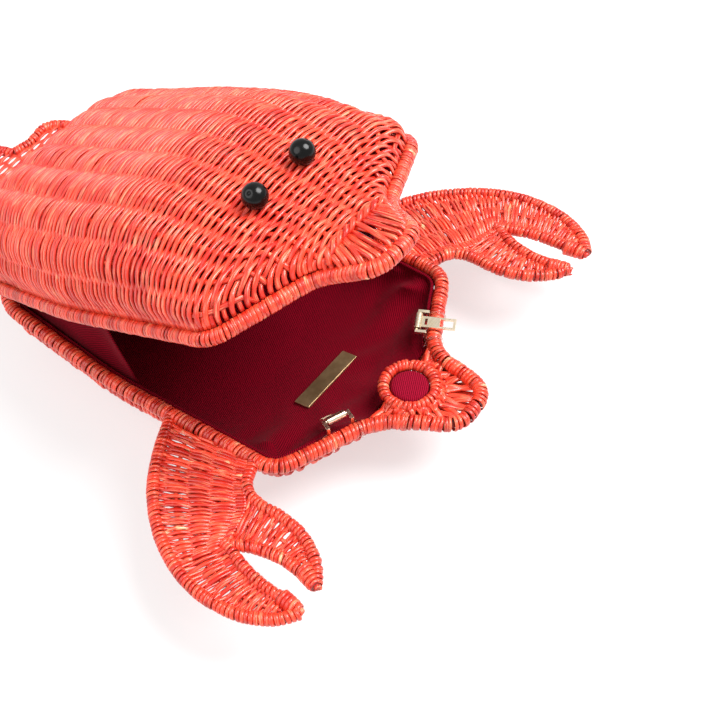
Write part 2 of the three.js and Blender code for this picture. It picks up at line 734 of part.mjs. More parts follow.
// Cane tie: a flat band looped round both rims.
function hingeTie(y) {
  const lidCentre = opened(new THREE.Vector3(HINGE_X, y, RIM_PLANE_Z + RIM_GAP));
  const low = new THREE.Vector2(HINGE_X, RIM_PLANE_Z);
  const high = new THREE.Vector2(lidCentre.x, lidCentre.z);
  const lean = Math.atan2(high.y - low.y, high.x - low.x);
  const outline = (radius) => {
    const shape = new THREE.Path();
    shape.absarc(low.x, low.y, radius, lean + Math.PI / 2, lean + 1.5 * Math.PI, false);
    shape.absarc(high.x, high.y, radius, lean - Math.PI / 2, lean + Math.PI / 2, false);
    return shape.getPoints(7).slice(0, -1);
  };
  const band = new THREE.Shape(outline(WRAP_OUTER_R + TIE_SLACK + TIE_T));
  band.holes.push(new THREE.Path(outline(WRAP_OUTER_R + TIE_SLACK)));
  const loop = new THREE.ExtrudeGeometry(band, { depth: TIE_WIDTH, bevelEnabled: false });
  loop.rotateX(Math.PI / 2);
  loop.translate(0, y + TIE_WIDTH / 2, 0);
  return loop;
}

// ---------------------------------------------------------------- materials

function finish(color, roughness, metalness = 0) {
  return new THREE.MeshStandardMaterial({ color, roughness, metalness });
}

const CORAL_CANE = finish(0xe84a38, 0.5);
const RED_CANE = finish(0xd23a2c, 0.5);
const BURGUNDY_TWILL = finish(0x6e0a1e, 0.9);
const BLACK_BEAD = finish(0x0a0a0a, 0.15);
const PALE_GOLD = finish(0xd8b888, 0.3, 1);
const AGED_BRASS = finish(0x6e5636, 0.4, 1);
const STEEL = finish(0x9a9a9a, 0.35, 1);
const CLEAR_THREAD = finish(0xe6ded2, 0.3);

function piece(parent, name, geometry, material) {
  const mesh = new THREE.Mesh(geometry, material);
  mesh.name = name;
  parent.add(mesh);
  return mesh;
}

// ---------------------------------------------------------------- assembly

function buildTray(parent) {
  piece(parent, "tray_shell", trayShell(), CORAL_CANE);
  const pole = circleSection(ROD_R, 5);
  piece(parent, "tray_rim_pole", rimSweep(RIM, pole, TRAY_SNOUT_SKEW, RIM_PLANE_Z), RED_CANE);
  piece(parent, "tray_rim_wrap", rimSweep(RIM, wrapSection(-90), TRAY_SNOUT_SKEW, RIM_PLANE_Z), CORAL_CANE);
  piece(parent, "tray_lining", trayLining(), BURGUNDY_TWILL);
  const plate = boxBetween(
    [-PLATE.width / 2, -PLATE.length / 2, 0],
    [PLATE.width / 2, PLATE.length / 2, PLATE.thick],
  );
  const label = piece(parent, "name_plate", plate, AGED_BRASS);
  label.position.set(PLATE.x, PLATE.y, PLATE.z);
  label.rotation.set(0, deg(PLATE.slope), deg(PLATE.turn));
}

function buildTrayClosure(parent) {
  piece(parent, "tray_snout_web", snoutWeb(RIM, TRAY_WEB_Z, TRAY_SNOUT_SKEW), RED_CANE);
  piece(parent, "closure_ring", closureRing(), RED_CANE);
  const button = piece(parent, "tray_button_cover", buttonCup(BUTTON_R, BUTTON_H), BURGUNDY_TWILL);
  button.position.set(CLOSURE_X, CLOSURE_Y, BUTTON_Z);
  const magnet = piece(parent, "tray_magnet", magnetDisc(), STEEL);
  magnet.position.copy(button.position);
}

function buildClaws(parent) {
  const frame = shortOfRim(clawFrameSolid(CLAW_ROD_R, RIM_PLANE_Z));
  const web = clawWeb(RIM_PLANE_Z);
  const ribs = CLAW_RIBS.map(clawRib);
  [["left", (g) => g], ["right", mirrored]].forEach(([side, place]) => {
    piece(parent, `${side}_claw_frame`, place(frame), RED_CANE);
    piece(parent, `${side}_claw_web`, place(web), RED_CANE);
    ribs.forEach((rib, i) => piece(parent, `${side}_claw_rib_${i + 1}`, place(rib), RED_CANE));
  });
}

function buildTail(parent) {
  piece(parent, "tail_frame", shortOfRim(tailFrameSolid(CLAW_ROD_R, RIM_PLANE_Z)), RED_CANE);
  piece(parent, "tail_web", tailWeb(RIM_PLANE_Z), RED_CANE);
  piece(parent, "left_tail_rib", tailRib(1), RED_CANE);
  piece(parent, "right_tail_rib", tailRib(-1), RED_CANE);
}

function buildStrapLinks(parent) {
  [["left", 1, 0], ["right", -1, RIGHT_LINK_TURN_DEG]].forEach(([name, side, turn]) => {
    const place = linkFrame(side);
    parent.add(place);
    piece(place, `${name}_strap_staple`, strapStaple(), PALE_GOLD);
    const link = piece(place, `${name}_strap_link`, strapLink(), PALE_GOLD);
    link.rotation.y = -deg(turn);
    [-1, 1].forEach((end, i) => {
      const loop = piece(place, `${name}_thread_loop_${i + 1}`, threadLoop(), CLEAR_THREAD);
      loop.position.set(LINK_INSET, end * (STAPLE_HALF + STAPLE_BAR / 2 + THREAD_STAND_OFF), -LINK_Z);
    });
  });
}

function buildLid(parent) {
  piece(parent, "lid_shell", lidShell(), CORAL_CANE);
  const rimZ = RIM_PLANE_Z + RIM_GAP;
  piece(parent, "lid_rim_pole", rimSweep(LID_RIM, circleSection(ROD_R, 5), LID_SNOUT_SKEW, rimZ), RED_CANE);
  piece(parent, "lid_rim_wrap", rimSweep(LID_RIM, wrapSection(90), LID_SNOUT_SKEW, rimZ), CORAL_CANE);
  piece(parent, "lid_lining", lidLining(), BURGUNDY_TWILL);
  piece(parent, "lid_snout_web", snoutWeb(LID_RIM, LID_WEB_Z, LID_SNOUT_SKEW), RED_CANE);
  const buttonH = LID_WEB_Z - CLEAR - (BUTTON_Z + BUTTON_H + 2 * CLEAR);
  const button = piece(parent, "lid_button_cover", buttonCup(LID_BUTTON_R, buttonH), BURGUNDY_TWILL);
  button.rotation.x = Math.PI;
  button.position.set(CLOSURE_X, CLOSURE_Y, LID_WEB_Z - CLEAR);
  const magnet = piece(parent, "lid_magnet", magnetDisc(), STEEL);
  magnet.rotation.x = Math.PI;
  magnet.position.copy(button.position);
}

// Bead eyes on wire pegs that stand just off the dome.
function buildEyes(parent) {
  const domeZ = RIM_PLANE_Z + RIM_GAP + WALL_START + (LID_CROWN - WALL_START) * bodyRise(EYE_X);
  [["left", 1], ["right", -1]].forEach(([name, side]) => {
    const bead = piece(parent, `${name}_eye`, new THREE.SphereGeometry(EYE_R, 12, 8), BLACK_BEAD);
    bead.position.set(EYE_X, side * EYE_Y, domeZ + EYE_R + EYE_STAND_OFF);
  });
}

const bag = new THREE.Group();
bag.position.x = -BASE_X;
buildTray(bag);
buildTrayClosure(bag);
buildClaws(bag);
buildTail(bag);
buildStrapLinks(bag);
TIE_YS.forEach((y, i) => piece(bag, `hinge_tie_${i + 1}`, hingeTie(y), CORAL_CANE));
piece(bag, "left_gusset", gusset(1), BURGUNDY_TWILL);
piece(bag, "right_gusset", gusset(-1), BURGUNDY_TWILL);

const lidPivot = new THREE.Group();
lidPivot.position.copy(hingePivot);
lidPivot.quaternion.copy(lidTurn);
const lid = new THREE.Group();
lid.position.copy(hingePivot).negate();
lidPivot.add(lid);
bag.add(lidPivot);
buildLid(lid);
buildEyes(lid);

export default bag;
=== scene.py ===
"""Looks of a woven cane clutch bag in the shape of a lobster.

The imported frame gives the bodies, the joint and every CAD node. This script stands woven cane, cloth and
metal surfaces in their places and lights the bag in a plain studio. The classes work in millimetres in the
bag's own frame, where x is 0 at the snout tip and falls towards the hinge. `Placement` moves finished
points into the part's frame, in metres, and opens the lid.
"""
import json
import logging
import math
from dataclasses import dataclass, field
from enum import Enum

import bmesh
import bpy
import numpy as np
from mathutils import Matrix, Vector


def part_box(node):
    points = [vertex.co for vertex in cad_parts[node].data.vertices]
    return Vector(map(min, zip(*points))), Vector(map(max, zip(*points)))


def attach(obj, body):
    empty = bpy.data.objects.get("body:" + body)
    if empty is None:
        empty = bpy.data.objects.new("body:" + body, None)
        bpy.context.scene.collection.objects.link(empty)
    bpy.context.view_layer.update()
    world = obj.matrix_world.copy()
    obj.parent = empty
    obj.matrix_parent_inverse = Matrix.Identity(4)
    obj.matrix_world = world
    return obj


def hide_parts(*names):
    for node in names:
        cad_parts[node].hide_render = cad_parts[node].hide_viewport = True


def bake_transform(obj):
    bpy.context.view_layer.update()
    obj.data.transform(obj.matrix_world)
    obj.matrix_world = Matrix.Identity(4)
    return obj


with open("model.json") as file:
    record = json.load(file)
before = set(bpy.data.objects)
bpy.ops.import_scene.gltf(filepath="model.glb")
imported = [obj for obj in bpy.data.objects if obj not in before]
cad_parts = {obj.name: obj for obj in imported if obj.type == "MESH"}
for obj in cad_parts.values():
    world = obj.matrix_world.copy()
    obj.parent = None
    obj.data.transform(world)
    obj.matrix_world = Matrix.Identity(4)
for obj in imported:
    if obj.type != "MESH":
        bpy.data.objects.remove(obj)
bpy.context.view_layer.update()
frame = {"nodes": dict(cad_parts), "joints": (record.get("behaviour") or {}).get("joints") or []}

Array = np.ndarray
Colour = tuple[float, float, float]

LOG = logging.getLogger("lobster_clutch")
MM = 0.001
BOUND_RIM_R = 3.7  # the bound rim, in millimetres
RIM_GAP = 9.4  # tray rim to lid rim when shut, in millimetres
UP = np.array([0.0, 0.0, 1.0])


class Half(Enum):
    """Which half of the bag a piece belongs to. The value is the body it rides on."""

    TRAY = "tray"
    LID = "lid"


class Side(Enum):
    """The lobster's left or right. The value is the sign of y."""

    LEFT = 1
    RIGHT = -1

    @property
    def word(self) -> str:
        """The side as a piece name starts with it."""
        return self.name.lower()


# ------------------------------------------------------------------ arithmetic


def unit(vectors: Array) -> Array:
    """Vectors scaled to length 1 along the last axis."""
    return vectors / np.maximum(np.linalg.norm(vectors, axis=-1, keepdims=True), 1e-9)


def smooth(x: Array, low: float, high: float) -> Array:
    """Smooth step from 0 at low to 1 at high: t * t * (3 - 2 t)."""
    t = np.clip((np.asarray(x, float) - low) / (high - low), 0, 1)
    return t * t * (3 - 2 * t)


def mix(a: Array, b: Array, t: Array) -> Array:
    """Straight-line blend from a to b."""
    return a + (b - a) * t


def along(path: Array) -> Array:
    """Distance travelled to each point of a path."""
    steps = np.linalg.norm(np.diff(path, axis=0), axis=1)
    return np.concatenate([[0.0], np.cumsum(steps)])


def sample(path: Array, distance: Array) -> Array:
    """Points of a path at the given distances from its start."""
    run = along(path)
    return np.stack([np.interp(distance, run, path[:, k]) for k in range(path.shape[1])], axis=-1)


def spline(points: list[tuple[float, float]], z: float, steps: int = 24) -> Array:
    """Centripetal Catmull-Rom curve through flat points, at height z.

    Each span is a cubic whose end slopes come from its neighbours, weighted by the square root of the
    distance between points.

    Args:
        points: The curve's own points as x, y.
        z: Height of the curve.
        steps: Samples in each span.

    Returns:
        Points of the curve, one per row.
    """
    p = np.column_stack([np.array(points, float), np.full(len(points), z)])
    p = np.vstack([2 * p[0] - p[1], p, 2 * p[-1] - p[-2]])
    a, b, c, d = p[:-3], p[1:-2], p[2:-1], p[3:]
    dt = [np.sqrt(np.linalg.norm(v, axis=1))[:, None] for v in (b - a, c - b, d - c)]
    m1 = ((b - a) / dt[0] - (c - a) / (dt[0] + dt[1]) + (c - b) / dt[1]) * dt[1]
    m2 = ((c - b) / dt[1] - (d - b) / (dt[1] + dt[2]) + (d - c) / dt[2]) * dt[1]
    t = np.linspace(0, 1, steps, endpoint=False)[None, :, None]
    b, c, m1, m2 = (v[:, None, :] for v in (b, c, m1, m2))
    cubic = b + m1 * t + (3 * (c - b) - 2 * m1 - m2) * t**2 + (2 * (b - c) + m1 + m2) * t**3
    return np.vstack([cubic.reshape(-1, 3), p[-2]])


# ------------------------------------------------------------------ places


@dataclass(frozen=True)
class Placement:
    """Takes points from the bag's millimetres to the part's metres. The lid is turned about its hinge."""

    tip_x: float
    pivot: Array
    turn: Array

    @classmethod
    def from_frame(cls, binding_radius: float) -> "Placement":
        """Reads the snout tip, the hinge and the lid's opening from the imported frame.

        Args:
            binding_radius: Radius of the bound rim, in millimetres.

        Returns:
            The placement.
        """
        tip_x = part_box("tray_rim_wrap")[1][0] / MM - binding_radius
        hinge = next(j for j in frame["joints"] if j["name"] == "lid_hinge")
        opening = -hinge["range_deg"][0]
        turn = Matrix.Rotation(math.radians(opening), 3, Vector(hinge["axis"]))
        return cls(tip_x, np.array(hinge["pos_m"]) / MM, np.array(turn))

    def metres(self, points: Array, half: Half) -> Array:
        """Points in the part's frame, in metres.

        Args:
            points: Places in the bag's frame, in millimetres.
            half: The half of the bag they belong to.

        Returns:
            The same places in the part's frame, with the lid opened.
        """
        moved = points + np.array([self.tip_x, 0.0, 0.0])
        if half is Half.LID:
            moved = (moved - self.pivot) @ self.turn.T + self.pivot
        return moved * MM


@dataclass(frozen=True)
class RimOutline:
    """Outline of a rim seen from above: straight runs joined by arcs, the same on both sides."""

    corners: tuple[tuple[float, float, float], ...] = (
        (0, 11.8, 11.5),
        (-34, 23.8, 27),
        (-55.8, 69.4, 13.4),
        (-151.8, 71.7, 200),
        (-238, 63.5, 24),
    )
    arc_points: int = 16

    def half(self) -> Array:
        """Left half from the snout tip to the middle of the rear edge, each corner rounded by an arc.

        Returns:
            Points of the left half, one per row.
        """
        ends = [np.array([self.corners[0][0], 0.0]), *(np.array(c[:2], float) for c in self.corners)]
        ends.append(np.array([self.corners[-1][0], 0.0]))
        points = [ends[0][None]]
        for (_, _, radius), before, corner, after in zip(self.corners, ends, ends[1:], ends[2:]):
            back, ahead = unit(before - corner), unit(after - corner)
            bend = math.pi - math.acos(float(back @ ahead))
            centre = corner + unit(back + ahead) * radius / math.cos(bend / 2)
            arm = corner + back * radius * math.tan(bend / 2) - centre
            side = -math.copysign(1.0, back[0] * ahead[1] - back[1] * ahead[0])
            angle = side * np.linspace(0, bend, self.arc_points)
            turned = np.column_stack(
                [
                    arm[0] * np.cos(angle) - arm[1] * np.sin(angle),
                    arm[0] * np.sin(angle) + arm[1] * np.cos(angle),
                ]
            )
            points.append(centre + turned)
        points.append(ends[-1][None])
        return np.vstack(points)

    def loop(self, spacing: float = 1.5) -> Array:
        """The whole rim at even spacing, counter-clockwise from the snout tip, its end left open.

        Args:
            spacing: Distance between points, in millimetres.

        Returns:
            Points of the closed outline, without a repeated last one.
        """
        half = self.half()
        whole = np.vstack([half, (half * [1, -1])[::-1][1:]])
        length = along(whole)[-1]
        count = round(length / spacing)
        return sample(whole, np.arange(count) * length / count)

    def outward(self, loop: Array) -> Array:
        """Unit vectors that point out of the loop."""
        ahead = np.roll(loop, -1, axis=0) - np.roll(loop, 1, axis=0)
        return unit(np.column_stack([ahead[:, 1], -ahead[:, 0]]))

    def width_at(self, x: Array, inset: float = 0.0) -> Array:
        """Half width of the rim at x, with the outline drawn in by inset.

        Args:
            x: Places along the bag.
            inset: How far the outline is drawn in.

        Returns:
            Half width at each place.
        """
        loop = self.loop()
        drawn = loop - self.outward(loop) * inset
        left = drawn[(drawn[:, 1] > 0) & (np.arange(len(loop)) < len(loop) // 2)]
        order = np.argsort(left[:, 0])
        return np.interp(x, left[order, 0], left[order, 1])


@dataclass(frozen=True)
class Dome:
    """Woven half of the bag over the rim outline.

    Height above the rim plane is start + (crown - start) * rise * shoulder. The rise is a sine of the
    distance behind the snout tip, raised to snout_ease. The shoulder is a superellipse of how far a point
    lies from the rim to the spine.
    """

    half: Half
    outline: RimOutline
    rim_z: float
    crown: float
    skew: float
    floor_z: float = -1e3
    inset: float = 0.0
    start: float = 4.0
    snout_run: float = 125.0
    snout_ease: float = 1.7
    fullness: float = 2.6
    spine_front: float = -16.0
    spine_rear: float = -196.0
    skew_from: float = -50.0

    @property
    def up(self) -> float:
        """1 for the lid, which rises from its rim, and -1 for the tray."""
        return 1.0 if self.half is Half.LID else -1.0

    def skewed(self, x: Array, y: Array) -> Array:
        """Sideways lean of the snout, which fades behind the cheeks."""
        return y + self.skew * smooth(x, self.skew_from, 0)

    def rise(self, x: Array) -> Array:
        """Share of the full height that the dome reaches at x."""
        share = np.clip(-x / self.snout_run, 0, 1)
        return np.sin(share * math.pi / 2) ** self.snout_ease

    def depth(self, x: Array, y: Array) -> Array:
        """0 on the rim and 1 on the spine, straight across or, past the spine's ends, radially.

        Args:
            x: Places along the bag.
            y: Places across it.

        Returns:
            Share of the way from rim to spine, from 0 to 1.
        """
        loop = self.outline.loop() - self.outline.outward(self.outline.loop()) * self.inset
        across = np.abs(y) / np.maximum(self.outline.width_at(x, self.inset), 1e-6)
        share = 1 - across
        for end, past in ((self.spine_rear, x < self.spine_rear), (self.spine_front, x > self.spine_front)):
            reach = loop - [end, 0]
            angle = np.arctan2(reach[:, 1], reach[:, 0]) % (2 * math.pi)
            order = np.argsort(angle)
            radius = np.hypot(reach[:, 0], reach[:, 1])[order]
            here = np.interp(
                np.arctan2(y, x - end) % (2 * math.pi), angle[order], radius, period=2 * math.pi
            )
            share = np.where(past, 1 - np.hypot(x - end, y) / here, share)
        return np.clip(share, 0, 1)

    def at(self, x: Array, y: Array) -> Array:
        """Points of the wall above or below flat places.

        Args:
            x: Places along the bag.
            y: Places across it, before the snout leans.

        Returns:
            Points of the wall, with a last axis of x, y and z.
        """
        t = self.depth(x, y)
        shoulder = (1 - (1 - t) ** self.fullness) ** (1 / self.fullness)
        height = self.start + (self.crown - self.start) * self.rise(x) * shoulder
        z = np.maximum(self.rim_z + self.up * height, self.floor_z)
        return np.stack(np.broadcast_arrays(x, self.skewed(x, y), z), axis=-1)

    def stations(self, front: float, pitch: float, loosening: float, dense: int = 1200) -> Array:
        """Places of cross strands along the body, at even pitch along the crest.

        Args:
            front: The foremost x.
            pitch: Spacing at the rear, along the surface.
            loosening: How much wider the spacing is at the snout.
            dense: Samples used to measure the crest.

        Returns:
            x of each strand, from the rear to the front.
        """
        rear = float(self.outline.corners[-1][0]) + self.inset
        s = np.linspace(0, 1, dense)
        x = rear + (front - rear) * (s**2 * 0.7 + s * 0.3)
        crest = self.at(x + 1e-3, np.zeros(dense))
        gap = pitch + loosening * smooth(x, -120, -45)
        step = np.linalg.norm(np.diff(crest, axis=0), axis=1) / gap[1:]
        number = np.concatenate([[0.0], np.cumsum(step)])
        return np.interp(np.arange(0.6, number[-1], 1.0), number, x)

    def sections(self, x: Array, fractions: Array, dense: int = 181) -> Array:
        """Rows of points across the dome at even arc length.

        Args:
            x: Station of each row.
            fractions: Places across each row, from 0 on the right rim to 1 on the left rim; one row for
                all the stations, or one for each.
            dense: Samples used to measure each arc.

        Returns:
            Points, station by place by xyz.
        """
        width = self.outline.width_at(x, self.inset)
        v = np.sin(np.linspace(-1, 1, dense) * math.pi / 2)
        arcs = self.at(np.repeat(x[:, None], dense, 1), width[:, None] * v)
        places = np.broadcast_to(fractions, (len(x), np.shape(fractions)[-1]))
        return np.stack([sample(arc, row * along(arc)[-1]) for arc, row in zip(arcs, places)])

    def normals(self, grid: Array) -> Array:
        """Unit normals of a grid of rows, pointing out of the bag."""
        normal = unit(np.cross(np.gradient(grid, axis=0), np.gradient(grid, axis=1)))
        return normal * np.sign(np.sum(normal * UP, axis=-1, keepdims=True).mean()) * self.up


# ------------------------------------------------------------------ meshes


@dataclass
class Weave:
    """Strands gathered for one piece: points, four-sided faces, end faces and the strands' values."""

    rng: np.random.Generator
    points: list[Array] = field(default_factory=list)
    quads: list[Array] = field(default_factory=list)
    ends: list[Array] = field(default_factory=list)
    cane: list[Array] = field(default_factory=list)
    tone: list[Array] = field(default_factory=list)
    count: int = 0

    def add(
        self,
        paths: Array,
        normals: Array,
        half_width: Array | float,
        half_thick: Array | float,
        sides: int = 6,
        closed: bool = False,
        tone: Array | None = None,
    ) -> None:
        """Adds strands: an ellipse of half_width by half_thick carried along each path.

        Args:
            paths: Centre lines, strand by step by xyz.
            normals: The direction of each strand's thickness at each step.
            half_width: Half the strand's width.
            half_thick: Half the strand's thickness.
            sides: Corners of the section.
            closed: Whether each strand's end meets its start.
            tone: Colour value from 0 to 1 at each step; drawn at random for each strand when left out.
        """
        n, m = paths.shape[:2]
        if closed:
            ahead = np.roll(paths, -1, axis=1) - np.roll(paths, 1, axis=1)
        else:
            ahead = np.gradient(paths, axis=1)
        side = unit(np.cross(unit(ahead), normals))
        up = unit(np.cross(side, ahead))
        a = np.broadcast_to(half_width, (n, m))[..., None, None]
        b = np.broadcast_to(half_thick, (n, m))[..., None, None]
        turn = (np.arange(sides) * 2 * math.pi / sides)[:, None]
        ring = side[:, :, None] * a * np.cos(turn) + up[:, :, None] * b * np.sin(turn)
        self.points.append((paths[:, :, None] + ring).reshape(-1, 3))
        index = (self.count + np.arange(n * m * sides)).reshape(n, m, sides)
        here, there = (index, np.roll(index, -1, axis=1)) if closed else (index[:, :-1], index[:, 1:])
        quad = np.stack([here, there, np.roll(there, -1, axis=2), np.roll(here, -1, axis=2)], axis=-1)
        self.quads.append(quad.reshape(-1, 4))
        if not closed:
            self.ends += [*index[:, 0], *index[:, -1, ::-1]]
        self.count += n * m * sides
        run = np.cumsum(np.linalg.norm(np.diff(paths, axis=1, prepend=paths[:, :1]), axis=-1), axis=1)
        own = self.rng.random((n, 1))
        values = np.empty((n, m, sides, 3))
        values[..., 0] = 0.5 + 0.5 * np.cos(turn[:, 0])
        values[..., 1] = run[..., None]
        values[..., 2] = own[..., None] * 40
        self.cane.append(values.reshape(-1, 3))
        if tone is None:
            tone = np.repeat(self.rng.random((n, 1)), m, 1)
        self.tone.append(np.repeat(np.broadcast_to(tone, (n, m))[..., None], sides, -1).reshape(-1))

    def bind(
        self,
        path: Array,
        radius: Array | float,
        pitch: float = 2.1,
        closed: bool = False,
        half_width: float = 1.02,
        half_thick: float = 0.42,
        steps: int = 12,
        roughly: float = 1.0,
    ) -> None:
        """Winds one flat cane round a path: a helix whose turns wander a little in place, lift and width.

        Args:
            path: Centre line of what is bound.
            radius: Radius of the winding, at each point of the path or all along it.
            pitch: Distance between turns.
            closed: Whether the path's end meets its start.
            half_width: Half the cane's width.
            half_thick: Half its thickness.
            steps: Points in each turn.
            roughly: How much the turns wander.
        """
        loop = np.vstack([path, path[:1]]) if closed else path
        run = along(loop)
        turns = max(2, round(run[-1] / pitch))
        count = turns * steps
        turn = np.arange(count) / steps
        wander = self.rng.normal(0, 1, (4, turns + 1))
        wander[:, -1] = wander[:, 0]
        place, lift, width, lean = (np.interp(turn, np.arange(turns + 1), w) for w in wander)
        angle = 2 * math.pi * turn
        s = run[-1] * turn / turns + pitch * roughly * (0.13 * place + 0.09 * lean * np.cos(angle))
        s = s % run[-1] if closed else np.clip(s, 0, run[-1])
        centre = sample(loop, s)
        ahead = unit(sample(loop, np.minimum(s + 0.4, run[-1])) - sample(loop, np.maximum(s - 0.4, 0)))
        out = unit(np.cross(ahead, UP))
        spoke = out * np.cos(angle)[:, None] + unit(np.cross(out, ahead)) * np.sin(angle)[:, None]
        reach = np.interp(s, run, np.broadcast_to(radius, len(loop)))
        centre = centre + spoke * (reach + 0.11 * roughly * lift)[:, None]
        own = np.repeat(self.rng.random(turns), steps)
        self.add(
            centre[None],
            spoke[None],
            (half_width * (1 + 0.08 * width))[None],
            half_thick,
            closed=closed,
            tone=own[None],
        )

    def build(self, name: str, half: Half, place: Placement, mirror: bool = False) -> bpy.types.Object:
        """Makes the piece's object.

        Args:
            name: Name of the piece.
            half: The half of the bag that it belongs to.
            place: Where the bag stands.
            mirror: Whether a left-hand piece is turned into the right-hand one.

        Returns:
            The object, with the strands' values as attributes.
        """
        points, quads, ends = np.vstack(self.points), np.vstack(self.quads), self.ends
        if mirror:
            points = points * [1, -1, 1]
            quads = quads[:, ::-1]
            ends = [e[::-1] for e in ends]
        obj = mesh_object(name, place.metres(points, half), quads, ends)
        attribute(obj, "cane", "FLOAT_VECTOR", np.vstack(self.cane))
        attribute(obj, "tone", "FLOAT", np.concatenate(self.tone))
        return obj


def mesh_object(name: str, points: Array, quads: Array, others: list[Array]) -> bpy.types.Object:
    """Makes a smooth-shaded mesh object from arrays.

    Args:
        name: Name of the object.
        points: Vertices in metres.
        quads: Four-sided faces.
        others: Faces with any number of corners.

    Returns:
        The object, linked to the scene.
    """
    mesh = bpy.data.meshes.new(name)
    corners = np.concatenate([quads.reshape(-1), *others]).astype(np.int32)
    sizes = np.concatenate([np.full(len(quads), 4), [len(o) for o in others]]).astype(np.int32)
    mesh.vertices.add(len(points))
    mesh.loops.add(len(corners))
    mesh.polygons.add(len(sizes))
    mesh.vertices.foreach_set("co", points.reshape(-1).astype(np.float32))
    mesh.loops.foreach_set("vertex_index", corners)
    mesh.polygons.foreach_set("loop_start", np.concatenate([[0], np.cumsum(sizes)[:-1]]).astype(np.int32))
    mesh.polygons.foreach_set("use_smooth", np.ones(len(sizes), bool))
    mesh.update(calc_edges=True)
    mesh.validate()
    obj = bpy.data.objects.new(name, mesh)
    bpy.context.scene.collection.objects.link(obj)
    return obj


def attribute(obj: bpy.types.Object, name: str, kind: str, values: Array) -> None:
    """Stores a value for each vertex.

    Args:
        obj: The piece.
        name: Name that the material reads.
        kind: FLOAT or FLOAT_VECTOR.
        values: One value for each vertex.
    """
    layer = obj.data.attributes.new(name, kind, "POINT")
    key = "vector" if kind == "FLOAT_VECTOR" else "value"
    layer.data.foreach_set(key, values.reshape(-1).astype(np.float32))


def grid_object(name: str, grid: Array, place: Placement, half: Half, flip: bool = False,
                around: bool = False) -> bpy.types.Object:
    """Makes a surface from a grid of points, with its own flat coordinates in millimetres for a weave.

    Args:
        name: Name of the piece.
        grid: Points, row by column by xyz.
        place: Where the bag stands.
        half: The half of the bag that it belongs to.
        flip: Whether faces turn the other way.
        around: Whether the last column meets the first.

    Returns:
        The object, with a "cloth" attribute.
    """
    rows, columns = grid.shape[:2]
    index = np.arange(rows * columns).reshape(rows, columns)
    a, b = index[:-1], index[1:]
    if not around:
        a, b = a[:, :-1], b[:, :-1]
    c, d = (np.roll(index, -1, axis=1)[1:, : a.shape[1]], np.roll(index, -1, axis=1)[:-1, : a.shape[1]])
    quads = np.stack([a, b, c, d], axis=-1).reshape(-1, 4)
    obj = mesh_object(name, place.metres(grid.reshape(-1, 3), half), quads[:, ::-1] if flip else quads, [])
    v = np.cumsum(np.linalg.norm(np.diff(grid, axis=0, prepend=grid[:1]), axis=-1), axis=0)
    u = np.cumsum(np.linalg.norm(np.diff(grid, axis=1, prepend=grid[:, :1]), axis=-1), axis=1)
    middle = u[:, columns // 2][:, None]
    flat = np.stack([u - middle, np.repeat(v.mean(axis=1)[:, None], columns, 1), np.zeros_like(u)], axis=-1)
    attribute(obj, "cloth", "FLOAT_VECTOR", flat.reshape(-1, 3))
    return obj


def thicken(obj: bpy.types.Object, thickness: float) -> None:
    """Gives a cloth surface its thickness, in millimetres, on its inner side.

    Args:
        obj: The cloth.
        thickness: Its thickness, in millimetres.
    """
    solid = obj.modifiers.new("thickness", "SOLIDIFY")
    solid.thickness = thickness * MM
    solid.offset = -1
    solid.use_rim = True


def softened(node: str, name: str, width: float) -> bpy.types.Object:
    """Copies a CAD node and rounds its edges.

    Args:
        node: The CAD node.
        name: Name of the new piece.
        width: Width of the rounding, in millimetres.

    Returns:
        The new object, in the node's place.
    """
    mesh = frame["nodes"][node].data.copy()
    mesh.name = name
    mesh.materials.clear()
    tidy = bmesh.new()
    tidy.from_mesh(mesh)
    bmesh.ops.remove_doubles(tidy, verts=tidy.verts, dist=1e-6)
    bmesh.ops.dissolve_limit(tidy, angle_limit=0.02, verts=tidy.verts, edges=tidy.edges)
    tidy.to_mesh(mesh)
    tidy.free()
    obj = bpy.data.objects.new(name, mesh)
    bpy.context.scene.collection.objects.link(obj)
    bevel = obj.modifiers.new("edges", "BEVEL")
    bevel.width = width * MM
    bevel.segments = 3
    bevel.angle_limit = math.radians(28)
    bevel.harden_normals = False
    obj.data.polygons.foreach_set("use_smooth", np.ones(len(mesh.polygons), bool))
    corner = obj.modifiers.new("shading", "WEIGHTED_NORMAL")
    corner.keep_sharp = True
    return obj


# ------------------------------------------------------------------ finishes


def linear(colour: Colour) -> tuple[float, float, float, float]:
    """A display colour of 0 to 255 as the shader's linear colour.

    Args:
        colour: Red, green and blue from 0 to 255.

    Returns:
        Red, green, blue and an alpha of 1 for a shader socket.
    """
    c = np.array(colour) / 255
    c = np.where(c < 0.04045, c / 12.92, ((c + 0.055) / 1.055) ** 2.4)
    return (*c.tolist(), 1.0)


